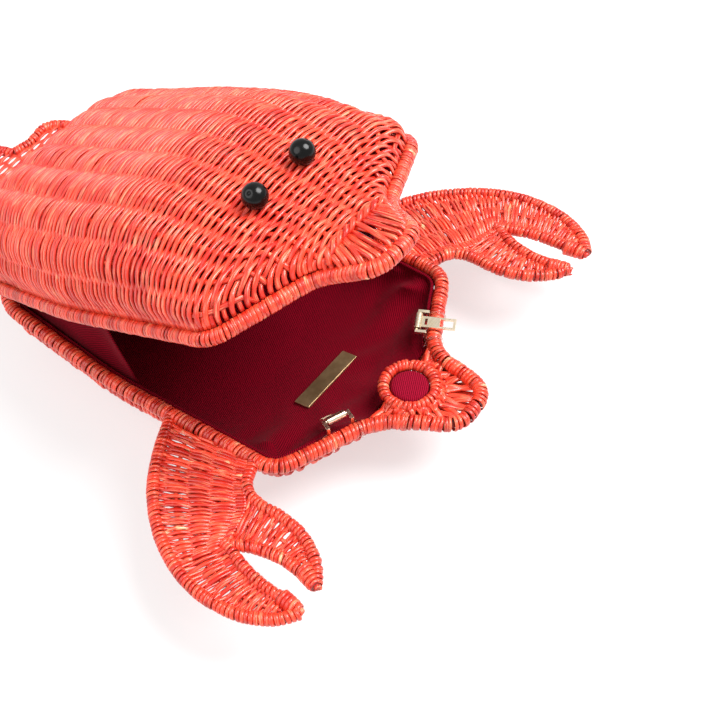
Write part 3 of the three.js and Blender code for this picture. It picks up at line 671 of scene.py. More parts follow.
class Sheet:
    """A material's node tree, with short calls for adding and joining nodes."""

    def __init__(self, name: str) -> None:
        """Starts a material with one Principled shader.

        Args:
            name: The material's name.
        """
        self.material = bpy.data.materials.new(name)
        self.material.use_nodes = True
        self.tree = self.material.node_tree
        self.shader = self.tree.nodes["Principled BSDF"]

    def node(self, kind: str, inputs: dict | None = None, **settings: object) -> bpy.types.Node:
        """Adds a node; inputs may be values or other nodes' sockets.

        Args:
            kind: Blender's name for the node.
            inputs: Values or sockets for its inputs, by name or number.
            settings: The node's own settings.

        Returns:
            The new node.
        """
        made = self.tree.nodes.new(kind)
        for key, value in settings.items():
            setattr(made, key, value)
        for key, value in (inputs or {}).items():
            self.join(value, made.inputs[key])
        return made

    def join(self, value: object, socket: bpy.types.NodeSocket) -> None:
        """Links a socket, or sets the number or colour in its place."""
        if isinstance(value, bpy.types.NodeSocket):
            self.tree.links.new(value, socket)
        else:
            socket.default_value = value

    def finish(self, **sockets: object) -> bpy.types.Material:
        """Sets the shader's own sockets and returns the material."""
        for key, value in sockets.items():
            self.join(value, self.shader.inputs[key.replace("_", " ")])
        return self.material

    def attribute(self, name: str) -> bpy.types.Node:
        """A stored per-vertex value."""
        return self.node("ShaderNodeAttribute", attribute_name=name)

    def scaled(self, vector: bpy.types.NodeSocket, by: tuple[float, float, float]) -> bpy.types.NodeSocket:
        """A vector stretched along its axes."""
        return self.node(
            "ShaderNodeVectorMath", {0: vector, 1: by}, operation="MULTIPLY"
        ).outputs[0]

    def noise(
        self, vector: bpy.types.NodeSocket, scale: float, detail: float = 2.0
    ) -> bpy.types.NodeSocket:
        """Smooth noise from 0 to 1."""
        made = self.node("ShaderNodeTexNoise", {"Vector": vector, "Scale": scale, "Detail": detail})
        return made.outputs["Fac"]

    def ramp(self, value: object, low: float, high: float, to: tuple[float, float] = (0, 1)) -> object:
        """Maps low..high to another range, smoothly and clamped.

        Args:
            value: Number or socket to map.
            low: Value that maps to the start.
            high: Value that maps to the end.
            to: Start and end of the new range.

        Returns:
            Socket with the mapped value.
        """
        made = self.node("ShaderNodeMapRange", {0: value, 1: low, 2: high, 3: to[0], 4: to[1]})
        made.interpolation_type = "SMOOTHSTEP"
        return made.outputs[0]

    def math(self, kind: str, a: object, b: object = 0.0) -> bpy.types.NodeSocket:
        """One arithmetic step."""
        return self.node("ShaderNodeMath", {0: a, 1: b}, operation=kind).outputs[0]

    def blend(self, share: object, a: object, b: object) -> bpy.types.NodeSocket:
        """Mixes two colours.

        Args:
            share: How much of the second colour.
            a: First colour.
            b: Second colour.

        Returns:
            Socket with the mixed colour.
        """
        made = self.node("ShaderNodeMix", data_type="RGBA")
        self.join(share, made.inputs[0])
        self.join(a, made.inputs[6])
        self.join(b, made.inputs[7])
        return made.outputs[2]

    def bump(self, height: object, distance: float, strength: float = 1.0) -> bpy.types.NodeSocket:
        """Surface normal from a height, whose full range is distance in metres."""
        made = self.node("ShaderNodeBump", {"Strength": strength, "Distance": distance, "Height": height})
        return made.outputs["Normal"]


@dataclass(frozen=True)
class CaneFinish:
    """Dyed and lacquered cane: lighter streaks along each strand, partly fibre and partly painted
    highlight, its own tone, and bare straw at some turns.
    """

    name: str
    deep: Colour
    fresh: Colour
    # light: colour of the lighter streaks, partly fibre and partly painted highlight.
    light: Colour
    straw: Colour = (236, 190, 142)
    straw_from: float = 0.9
    roughness: float = 0.33

    def material(self) -> bpy.types.Material:
        """Builds the finish from the strands' own values.

        Returns:
            The material.
        """
        s = Sheet(self.name)
        strand = s.attribute("cane").outputs["Vector"]
        tone = s.attribute("tone").outputs["Fac"]
        place = s.node("ShaderNodeTexCoord").outputs["Object"]
        fibre = s.noise(s.scaled(strand, (7.0, 0.10, 1.0)), 1.0, 3.0)
        patch = s.noise(s.scaled(strand, (0.6, 0.13, 1.0)), 1.0, 2.0)
        cloud = s.noise(place, 38.0, 2.0)
        body = s.math("ADD", s.math("MULTIPLY", tone, 0.55), s.math("MULTIPLY", cloud, 0.5))
        colour = s.blend(s.ramp(body, 0.25, 0.8), linear(self.deep), linear(self.fresh))
        # Lighter streaks along each strand: partly the cane's fibre, partly painted highlight in the light
        # colour.
        fibre_streak_and_highlight = s.math("MULTIPLY", s.ramp(fibre, 0.47, 0.70), s.ramp(patch, 0.38, 0.62))
        colour = s.blend(s.math("MULTIPLY", fibre_streak_and_highlight, 0.85), colour, linear(self.light))
        bare = s.math("MULTIPLY", s.ramp(patch, 0.60, 0.70), s.ramp(tone, self.straw_from, 1.0))
        colour = s.blend(bare, colour, linear(self.straw))
        dark = s.math("MULTIPLY", s.ramp(fibre, 0.46, 0.30), 0.6)
        colour = s.blend(dark, colour, linear(self.deep))
        return s.finish(
            Base_Color=colour,
            Roughness=s.ramp(fibre, 0.3, 0.7, (self.roughness - 0.06, self.roughness + 0.12)),
            Coat_Weight=0.35,
            Coat_Roughness=0.22,
            Normal=s.bump(fibre, 0.00012, 0.8),
        )


@dataclass(frozen=True)
class TwillFinish:
    """Cotton twill: fine diagonal ribs, thread noise and a soft sheen; the rib crests are painted lighter
    and the grooves darker, as painted light and shade.
    """

    name: str
    colour: Colour
    # light: colour of the rib crests, painted light.
    light: Colour
    pitch: float = 1.0
    slant: tuple[float, float] = (0.35, 1.0)

    def material(self) -> bpy.types.Material:
        """Builds the ribs from the cloth's own flat coordinates in millimetres.

        Returns:
            The material.
        """
        s = Sheet(self.name)
        cloth = s.attribute("cloth").outputs["Vector"]
        parts = s.node("ShaderNodeSeparateXYZ", {0: cloth})
        across = s.math("MULTIPLY", parts.outputs[0], self.slant[0])
        along_cloth = s.math("MULTIPLY", parts.outputs[1], self.slant[1])
        phase = s.math("MULTIPLY", s.math("ADD", across, along_cloth), 2 * math.pi / self.pitch)
        rib = s.math("ADD", s.math("MULTIPLY", s.math("SINE", phase), 0.5), 0.5)
        cross = s.math("MULTIPLY", parts.outputs[0], 2 * math.pi / (0.7 * self.pitch))
        thread = s.math("MULTIPLY", s.math("SINE", cross), 0.18)
        fuzz = s.noise(cloth, 1.6, 3.0)
        # Painted light and shade on the ribs, crests lighter and grooves darker, mixed with thread tone
        # from the fuzz.
        painted_rib_shade_and_fuzz = s.math("ADD", s.math("MULTIPLY", rib, 0.55), s.math("MULTIPLY", fuzz, 0.5))
        colour = s.blend(s.ramp(painted_rib_shade_and_fuzz, 0.2, 0.95), linear(self.colour), linear(self.light))
        height = s.math("ADD", s.math("ADD", rib, thread), s.math("MULTIPLY", fuzz, 0.5))
        return s.finish(
            Base_Color=colour,
            Roughness=0.88,
            Sheen_Weight=0.02,
            Sheen_Roughness=0.4,
            Specular_IOR_Level=0.05,
            Normal=s.bump(height, 0.0002, 0.9),
        )


@dataclass(frozen=True)
class MetalFinish:
    """Plated or brushed metal: fine scratches along one axis and cloudy wear."""

    name: str
    colour: Colour
    worn: Colour
    roughness: float
    grain: tuple[float, float, float] = (900.0, 60.0, 900.0)
    scratch: float = 0.00001
    metallic: float = 1.0

    def material(self) -> bpy.types.Material:
        """Builds the finish on object coordinates.

        Returns:
            The material.
        """
        s = Sheet(self.name)
        place = s.node("ShaderNodeTexCoord").outputs["Object"]
        grain = s.noise(s.scaled(place, self.grain), 1.0, 4.0)
        cloud = s.noise(place, 120.0, 3.0)
        colour = s.blend(s.ramp(cloud, 0.35, 0.7), linear(self.colour), linear(self.worn))
        return s.finish(
            Base_Color=colour,
            Metallic=self.metallic,
            Roughness=s.ramp(grain, 0.25, 0.75, (self.roughness * 0.75, self.roughness * 1.3)),
            Normal=s.bump(grain, self.scratch, 0.6),
        )


@dataclass(frozen=True)
class GlossFinish:
    """Lacquered bead or clear thread: a smooth coat over a faintly cloudy body."""

    name: str
    colour: Colour
    worn: Colour
    roughness: float
    transmission: float = 0.0
    coat: float = 0.3

    def material(self) -> bpy.types.Material:
        """Builds the finish on object coordinates.

        Returns:
            The material.
        """
        s = Sheet(self.name)
        place = s.node("ShaderNodeTexCoord").outputs["Object"]
        cloud = s.noise(place, 260.0, 3.0)
        colour = s.blend(s.ramp(cloud, 0.4, 0.75), linear(self.colour), linear(self.worn))
        return s.finish(
            Base_Color=colour,
            Roughness=s.ramp(cloud, 0.3, 0.8, (self.roughness, self.roughness * 2)),
            Coat_Weight=self.coat,
            Coat_Roughness=0.1,
            Specular_IOR_Level=0.3,
            Transmission_Weight=self.transmission,
            Normal=s.bump(cloud, 0.00002, 0.5),
        )


@dataclass
class Wardrobe:
    """The finishes of the bag, made once and shared."""

    coral: bpy.types.Material
    rim: bpy.types.Material
    red: bpy.types.Material
    pole: bpy.types.Material
    twill: bpy.types.Material
    button: bpy.types.Material
    bead: bpy.types.Material
    gold: bpy.types.Material
    brass: bpy.types.Material
    steel: bpy.types.Material
    thread: bpy.types.Material

    @classmethod
    def made(cls) -> "Wardrobe":
        """Mixes every finish."""
        return cls(
            # The third colour of each cane is its lighter streak, partly fibre and partly painted
            # highlight.
            coral=CaneFinish("coral cane", (200, 28, 14), (250, 72, 42), (255, 160, 122)).material(),
            rim=CaneFinish(
                "rim cane", (184, 26, 12), (242, 66, 38), (255, 158, 114), straw_from=0.8
            ).material(),
            red=CaneFinish(
                "red cane", (188, 28, 14), (242, 66, 40), (255, 158, 116), straw_from=0.8
            ).material(),
            pole=CaneFinish("rattan pole", (120, 14, 8), (176, 34, 20), (210, 100, 70)).material(),
            # The second colour of each twill is painted light on its rib crests.
            twill=TwillFinish("burgundy twill", (76, 0, 11), (140, 3, 30)).material(),
            button=TwillFinish("button twill", (104, 4, 24), (166, 20, 52), slant=(1.0, 0.45)).material(),
            bead=GlossFinish("black bead", (2, 2, 2), (5, 5, 5), 0.16, coat=0.0).material(),
            gold=MetalFinish("pale gold", (255, 240, 214), (246, 228, 194), 0.26).material(),
            brass=MetalFinish(
                "aged brass", (150, 122, 86), (182, 152, 112), 0.36, (2500.0, 90.0, 2500.0), 0.000004, 0.8
            ).material(),
            steel=MetalFinish("magnet steel", (150, 150, 152), (120, 118, 116), 0.3).material(),
            thread=GlossFinish("clear thread", (255, 250, 244), (250, 244, 236), 0.04, 1.0).material(),
        )


def dress(
    obj: bpy.types.Object, material: bpy.types.Material, slot: str, body: str | None, *nodes: str
) -> bpy.types.Object:
    """Gives a piece its finish, and says which nodes it stands for.

    Args:
        obj: The piece.
        material: Its finish.
        slot: The record's material slot; not used.
        body: The body it rides on; a piece that spans the hinge has none.
        nodes: The CAD nodes that it replaces.

    Returns:
        The piece.
    """
    obj.data.materials.clear()
    obj.data.materials.append(material)
    if body is not None:
        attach(obj, body)
    if nodes:
        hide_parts(*nodes)
    LOG.info("%s: %d faces, stands for %s", obj.name, len(obj.data.polygons), ", ".join(nodes) or "itself")
    return obj


# ------------------------------------------------------------------ sub-assemblies


@dataclass
class Basket:
    """One woven half: cross strands over stakes, the bound rim and the snout's end wraps."""

    dome: Dome
    place: Placement
    seed: int
    bands: int = 11
    least_band: float = 10.5
    weaver_pitch: float = 1.34
    weaver_loosening: float = 0.34
    weave_front: float = -25.0
    swing: float = 1.45
    wide: float = 1.02
    narrow: float = 0.8
    front_extra: float = 0.24
    thick: float = 0.72
    steps_per_band: int = 6
    stake_width: float = 1.5
    stake_thick: float = 0.75
    binding_radius: float = 3.25
    wraps: int = 20
    wrap_cross: float = 0.06
    wrap_wide: float = 1.55
    wrap_narrow: float = 1.2
    wrap_thick: float = 0.85
    twist_radius: float = 1.1
    rim_pitch: float = 2.0
    rim_wander: float = 1.15

    def bands_at(self, x: Array) -> Array:
        """Bands across the half at each station: fewer where the snout narrows, so none is thin.

        Args:
            x: Stations along the half.

        Returns:
            Number of bands at each station, with a fraction.
        """
        grid = self.dome.sections(x, np.linspace(0, 1, 41))
        length = np.linalg.norm(np.diff(grid, axis=1), axis=-1).sum(axis=1)
        return np.minimum(self.bands, length / self.least_band)

    def weavers(self) -> bpy.types.Object:
        """Cross strands. Each swings over one stake and under the next: the offset along the normal is
        swing * cos(pi * band + pi * parity), band counting from the middle. It fades out at both rims.

        Returns:
            The object that holds every cross strand.
        """
        rng = np.random.default_rng(self.seed)
        x = self.dome.stations(self.weave_front, self.weaver_pitch, self.weaver_loosening)
        fractions = np.linspace(0, 1, self.bands * self.steps_per_band + 1)
        grid = self.dome.sections(x, fractions)
        normal = self.dome.normals(grid)
        n = len(x)
        across = self.bands_at(x)[:, None]
        band = (fractions[None] - 0.5) * across
        wave = np.cos(math.pi * (band + np.arange(n)[:, None] % 2))
        fade = smooth((0.5 - np.abs(fractions[None] - 0.5)) * across, 0, 0.7)
        spots = np.arange(self.bands + 2) - self.bands / 2 - 0.5
        draws = 1 + 0.16 * rng.normal(0, 1, (n, len(spots)))
        reach = np.stack([np.interp(row, spots, r) for row, r in zip(band, draws)])
        knots = np.linspace(0, 1, 8)
        drift = np.stack([np.interp(fractions, knots, d) for d in rng.normal(0, 0.2, (n, 8))])
        tone = np.stack([np.interp(fractions, knots, d) for d in rng.normal(0, 0.12, (n, 8))])
        tone = np.clip(tone + rng.uniform(0.1, 0.9, (n, 1)), 0, 1)
        forward = unit(np.gradient(grid, axis=0))
        paths = grid + normal * (self.swing * wave * fade * reach)[..., None] + forward * drift[..., None]
        width = mix(self.narrow, self.wide, np.abs(wave)) + self.front_extra * smooth(x, -120, -50)[:, None]
        weave = Weave(rng)
        weave.add(paths, normal, width * (1 + 0.05 * rng.normal(0, 1, (n, 1))), self.thick, tone=tone)
        return weave.build(f"{self.dome.half.value}_weavers", self.dome.half, self.place)

    def stakes(self) -> bpy.types.Object:
        """Lengthwise stakes, one band apart. The outer ones run into the rim where the snout narrows.

        Returns:
            The object that holds every stake.
        """
        rng = np.random.default_rng(self.seed + 1)
        x = self.dome.stations(self.weave_front + 1, 2.2, 0.6)
        number = np.arange(self.bands) - self.bands // 2
        fractions = 0.5 + number[None] / self.bands_at(x)[:, None]
        grid = self.dome.sections(x, np.clip(fractions, 0, 1))
        normal = self.dome.normals(grid)
        weave = Weave(rng)
        for column, share in enumerate(np.abs(fractions - 0.5).T):
            keep = share < 0.5
            line, out = grid[keep, column], normal[keep, column]
            weave.add(line[None], out[None], self.stake_width * 0.8, self.stake_thick)
        return weave.build(f"{self.dome.half.value}_stakes", self.dome.half, self.place)

    def rim_path(self, drop: float = 0.0, inset: float = 0.0) -> Array:
        """Centre line of the rim, or a line beside it.

        Args:
            drop: How far past the rim pole the line lies, away from the dome.
            inset: How far inside it the line lies.

        Returns:
            Points of the line, one per row.
        """
        loop = self.dome.outline.loop()
        moved = loop - self.dome.outline.outward(loop) * inset
        y = self.dome.skewed(loop[:, 0], loop[:, 1]) + moved[:, 1] - loop[:, 1]
        return np.column_stack([moved[:, 0], y, np.full(len(loop), self.dome.rim_z - drop * self.dome.up)])

    def rim(self) -> bpy.types.Object:
        """Flat cane wound round the rim pole.

        Returns:
            The wound cane.
        """
        weave = Weave(np.random.default_rng(self.seed + 2))
        weave.bind(
            self.rim_path(),
            self.binding_radius,
            self.rim_pitch,
            closed=True,
            roughly=self.rim_wander,
        )
        return weave.build(f"{self.dome.half.value}_rim_binding", self.dome.half, self.place)

    def snout(self) -> bpy.types.Object:
        """Strands from the weave's border to the rim round the snout tip, and the border's twist.

        Each lies on the dome, lifted by lift * sin(pi * s) ** 0.5 between its ends. In every four, one end
        moves along the rim one way and another's the other way, so that those two cross.

        Returns:
            The object that holds the strands and the twist.
        """
        rng = np.random.default_rng(self.seed + 3)
        path = self.rim_path()
        arc = path[path[:, 0] > self.weave_front - 2]
        arc = arc[np.argsort(np.arctan2(arc[:, 1], arc[:, 0] - self.weave_front))]
        width = float(self.dome.outline.width_at(self.weave_front))
        share = np.linspace(-0.93, 0.93, self.wraps) + rng.normal(0, 0.012, self.wraps)
        turn = np.arange(self.wraps) % 4
        cross = self.wrap_cross * (turn == 1) - self.wrap_cross * (turn == 2)
        ends = sample(arc, np.clip(np.linspace(0, 1, self.wraps) + cross, 0, 1) * along(arc)[-1])
        s = np.linspace(0, 1, 12)[None]
        start_x = self.weave_front - 2.5 + 1.2 * np.abs(share)
        x = mix(start_x[:, None], ends[:, :1], s)
        y = mix((share * width)[:, None], ends[:, 1:2] - self.dome.skewed(ends[:, :1], 0 * ends[:, :1]), s)
        inside = np.clip(np.abs(y), 0, self.dome.outline.width_at(x) * 0.995) * np.sign(y)
        tip = float(self.dome.outline.corners[0][0])
        paths = self.dome.at(np.minimum(x, tip - 0.3), inside)
        raised = 0.9 * (turn == 2)[:, None] * np.sin(math.pi * s)
        lift = 1.5 * np.sin(math.pi * s) ** 0.5 + raised + rng.normal(0, 0.3, (self.wraps, 1))
        paths[..., 2] += self.dome.up * (lift - 0.8)
        paths[:, -1] = ends
        normal = unit(np.stack([0.25 + 0 * x, 0.02 * y, self.dome.up + 0 * x], axis=-1))
        weave = Weave(rng)
        weave.add(paths, normal, mix(self.wrap_wide, self.wrap_narrow, s), self.wrap_thick)
        v = np.linspace(-0.98, 0.98, 40)
        edge = self.dome.at(np.full(40, self.weave_front + 0.6), v * width)
        edge[:, 2] += self.dome.up * 1.4
        angle = np.linspace(0, 9 * math.pi, 40)
        for phase in (0, math.pi):
            twist = edge.copy()
            twist[:, 0] += self.twist_radius * np.cos(angle + phase)
            twist[:, 2] += self.twist_radius * np.sin(angle + phase)
            weave.add(twist[None], np.tile(UP, (1, 40, 1)), 1.35, 1.0)
        return weave.build(f"{self.dome.half.value}_snout_wraps", self.dome.half, self.place)

    def build(self, finishes: Wardrobe) -> None:
        """Makes and dresses the half.

        Args:
            finishes: The wardrobe that the pieces are dressed from.
        """
        word = self.dome.half.value
        dress(self.weavers(), finishes.coral, "coral_cane", word, f"{word}_shell")
        dress(self.stakes(), finishes.red, "coral_cane", word)
        dress(self.rim(), finishes.rim, "red_cane", word, f"{word}_rim_wrap")
        dress(self.snout(), finishes.rim, "red_cane", word)


@dataclass
class Lining:
    """Twill stitched inside one half, puckered under its piped edge."""

    basket: Basket
    wall_gap: float = 4.3
    inset: float = 4.7
    front: float = -40.0
    front_top: float = 6.0
    pucker: float = 1.1
    crease: float = 5.0
    pucker_run: float = 13.0
    seed: int = 5
    thickness: float = 0.5
    piping: float = 0.95

    def grid(self) -> Array:
        """Rows across the half from the hinge to the closure, then along the short front wall.

        The cloth follows a smaller dome and then moves inward, by pucker times a sine along the bag that
        fades from the rim, by a slow sag, and by crease times slanted folds beside each cheek.

        Returns:
            Points of the cloth, row by column by xyz.
        """
        dome = self.basket.dome
        inner = Dome(
            dome.half,
            dome.outline,
            dome.rim_z,
            dome.crown - self.wall_gap + 1.5,
            dome.skew,
            dome.floor_z + 2.6,
            self.inset,
            start=1.0,
        )
        rear = float(dome.outline.corners[-1][0]) + self.inset
        s = np.linspace(0, 1, 110)
        x = rear + 0.05 + (self.front - rear) * (0.35 * s + 0.65 * s**1.5)
        swing = np.cos(np.linspace(0, math.pi, 121))
        fractions = 0.5 - 0.5 * swing * np.abs(swing) ** 0.15
        rows = inner.sections(x, fractions)
        normal = inner.normals(rows)
        width = np.linalg.norm(np.gradient(rows, axis=1), axis=-1)
        run = np.cumsum(width, axis=1)
        edge = np.minimum(run, run[:, -1:] - run)
        rng = np.random.default_rng(self.seed)
        wobble = np.interp(x, np.linspace(-240, 0, 14), rng.normal(0, 1.6, 14))
        fold = np.sin(2 * math.pi * x / self.pucker_run + wobble)[:, None] * np.exp(-edge / 14)
        sag = np.sin(x / 17)[:, None] * np.sin(edge / 12)
        cheek = np.exp(-((x + 66) ** 2) / 420)[:, None] * smooth(edge, 1, 12) * np.exp(-edge / 26)
        crease = cheek * (1 + np.sin(x[:, None] / 3.4 + edge / 6.5 + 1.3 * np.sin(edge / 9)))
        inward = self.pucker * (fold + 1) * smooth(edge, 0, 4) + 0.4 * (sag + 1) + self.crease * crease
        rows = rows - normal * inward[..., None]
        last = rows[-1]
        top = dome.rim_z + dome.up * self.front_top
        rise = np.linspace(0, 1, 9)[1:, None]
        lift = mix(last[None, :, 2], np.full_like(last[None, :, 2], top), rise)
        forward = last[None, :, 0] + 0.8 * np.sin(rise * math.pi)
        wall = np.stack([forward, last[None, :, 1] + 0 * rise, lift], -1)
        return np.vstack([rows, wall])

    def build(self, place: Placement, finishes: Wardrobe) -> None:
        """Makes the cloth and its piping, and says what the cloth was cut from.

        Args:
            place: Where the bag stands.
            finishes: The wardrobe that the pieces are dressed from.
        """
        dome = self.basket.dome
        word = dome.half.value
        grid = self.grid()
        cloth = grid_object(f"{word}_lining_cloth", grid, place, dome.half, flip=dome.half is Half.TRAY)
        thicken(cloth, self.thickness)
        dress(cloth, finishes.twill, "burgundy_twill", word, f"{word}_lining")
        edge = self.basket.rim_path(-0.6, self.inset + 0.2)
        keep = edge[:, 0] < self.basket.dome.skew_from
        edge = edge[keep]
        weave = Weave(np.random.default_rng(self.seed + 1))
        weave.add(edge[None], np.tile(UP, (1, len(edge), 1)), self.piping, self.piping)
        piping = weave.build(f"{word}_lining_piping", dome.half, place)
        attribute(piping, "cloth", "FLOAT_VECTOR", np.vstack(weave.cane) * [1, 1, 0])
        dress(piping, finishes.twill, "burgundy_twill", word)


@dataclass
class Claw:
    """One woven claw: bound frame rods, ribs, and cross strands between the rods."""

    side: Side
    place: Placement
    z: float
    seed: int = 40
    root_y: float = 70.0
    rod: float = 2.0
    binding: float = 2.55
    rib: float = 1.05
    swing: float = 0.95
    outer: tuple = (
        (-114.5, 1), (-106, 20), (-96, 36), (-82, 50), (-64, 61), (-46, 66), (-26, 65), (-11, 58), (-4, 50)
    )
    fork_big: tuple = ((-50, 41), (-40, 45), (-27, 48), (-15, 48.5), (-5, 49))
    fork_small: tuple = ((-50, 41), (-40, 36), (-28, 33.5), (-17, 34), (-6, 36.5))
    front: tuple = ((-66.5, 1), (-61, 13), (-52, 17), (-38, 17), (-24, 20), (-12, 28), (-6, 36))
    palm_inner: tuple = ((-69, 0.5), (-62, 13), (-54, 22), (-51, 33), (-50, 41))
    crotch_on_outer: float = 0.565
    palm_strands: int = 58
    big_strands: int = 40
    small_strands: int = 34

    def curve(self, points: tuple) -> Array:
        """A frame line in the bag's frame."""
        path = spline(list(points), self.z)
        return path + [0, self.root_y, 0]

    def ladder(
        self, weave: Weave, left: Array, right: Array, count: int, ribs: int, parity: int = 0
    ) -> None:
        """Cross strands from one line to another, over and under the ribs.

        Each strand joins the same share of both lines, give or take a little. At s, from 0 to 1 along it,
        it swings from the plane by swing * cos(pi * (ribs + 1) * s + pi * parity).

        Args:
            weave: Gathers the strands.
            left: First line.
            right: Second line.
            count: Number of strands.
            ribs: Ribs that the strands cross.
            parity: Which strands start on top.
        """
        share = (np.arange(count) + 0.5) / count
        jitter = weave.rng.normal(0, 0.25 / count, (2, count))
        start = sample(left, (share + jitter[0]) * along(left)[-1])
        end = sample(right, (share + jitter[1]) * along(right)[-1])
        steps = 7 * (ribs + 1) + 1
        s = np.linspace(0, 1, steps)
        paths = mix(start[:, None], end[:, None], s[None, :, None])
        swing = self.swing * (1 + 0.15 * weave.rng.normal(0, 1, (count, 1)))
        wave = np.cos(math.pi * ((ribs + 1) * s[None] + (np.arange(count)[:, None] + parity) % 2))
        bow = 0.5 * weave.rng.normal(0, 1, (count, 1)) * np.sin(math.pi * s)
        paths[..., 2] += swing * wave
        paths[..., 0] += bow
        width = mix(0.85, 1.1, np.abs(wave)) * (1 + 0.08 * weave.rng.normal(0, 1, (count, 1)))
        weave.add(paths, np.tile(UP, (count, steps, 1)), width, 0.6)

    def part(self, path: Array, first: float, last: float) -> Array:
        """A stretch of a line between two shares of its length."""
        return sample(path, np.linspace(first, last, 60) * along(path)[-1])

    def build(self, finishes: Wardrobe) -> None:
        """Makes the bindings, the canes inside them and the woven panel.

        Args:
            finishes: The wardrobe that the pieces are dressed from.
        """
        mirror = self.side is Side.RIGHT
        lines = (self.outer, self.fork_big, self.fork_small, self.front)
        outer, big, small, front = (self.curve(c) for c in lines)
        rng = np.random.default_rng(self.seed + self.side.value)
        wrap, canes, panel = Weave(rng), Weave(rng), Weave(rng)
        for path in (outer, big, small, front):
            even = sample(path, np.linspace(0, along(path)[-1], max(30, int(along(path)[-1] / 1.5))))
            wrap.bind(even, self.binding)
            canes.add(even[None], np.tile(UP, (1, len(even), 1)), self.rod, self.rod, 8)
        tips = (
            (mix(outer[-1], big[-1], 0.5), (-1.0, -0.1, 0)),
            (mix(front[-1], small[-1], 0.5), (-0.9, -0.35, 0)),
        )
        for tip, back in tips:
            run = np.linspace(-1.2, 11, 26)
            path = tip + np.array(back) * run[:, None]
            cone = 3.1 * np.sqrt(np.clip((run + 1.25) / 3.2, 0, 1)) + 0.09 * np.clip(run, 0, 20)
            wrap.bind(path, cone, pitch=1.9, half_width=1.05)
            core = np.maximum(cone - 0.6, 0.2)
            canes.add(path[None], np.tile(UP, (1, 26, 1)), core, core, 8)
        knot = sample(big, np.array([0.0, 1.5, 3.0])) + [[-1.5, 0, 0], [-0.5, 0, 0], [0.5, 0, 0]]
        wrap.bind(sample(knot, np.linspace(0, along(knot)[-1], 12)), 2.6, pitch=1.7, roughly=0.4)
        palm = self.curve(self.palm_inner)
        palm_edge = self.part(outer, 0.03, self.crotch_on_outer)
        big_pair = self.part(outer, self.crotch_on_outer, 0.93), self.part(big, 0.0, 0.85)
        small_pair = self.part(front, 0.24, 0.9), self.part(small, 0.0, 0.82)
        self.ladder(panel, palm_edge, palm, self.palm_strands, 3)
        self.ladder(panel, *big_pair, self.big_strands, 1, 1)
        self.ladder(panel, *small_pair, self.small_strands, 1)
        ribs = Weave(rng)
        palm_lines = [mix(palm_edge, self.part(palm, 0, 1), share) for share in (0.25, 0.5, 0.75)]
        for line in (*palm_lines, mix(*big_pair, 0.5), mix(*small_pair, 0.5)):
            ribs.add(line[None], np.tile(UP, (1, 60, 1)), self.rib, self.rib * 0.8)
        word = self.side.word
        body = Half.TRAY.value
        made = wrap.build(f"{word}_claw_binding", Half.TRAY, self.place, mirror)
        dress(made, finishes.red, "red_cane", body, f"{word}_claw_frame")
        made = canes.build(f"{word}_claw_canes", Half.TRAY, self.place, mirror)
        dress(made, finishes.pole, "rattan_pole", body)
        made = panel.build(f"{word}_claw_strands", Half.TRAY, self.place, mirror)
        dress(made, finishes.red, "red_cane", body, f"{word}_claw_web")
        made = ribs.build(f"{word}_claw_stakes", Half.TRAY, self.place, mirror)
        dress(made, finishes.red, "red_cane", body, f"{word}_claw_rib_1", f"{word}_claw_rib_2")


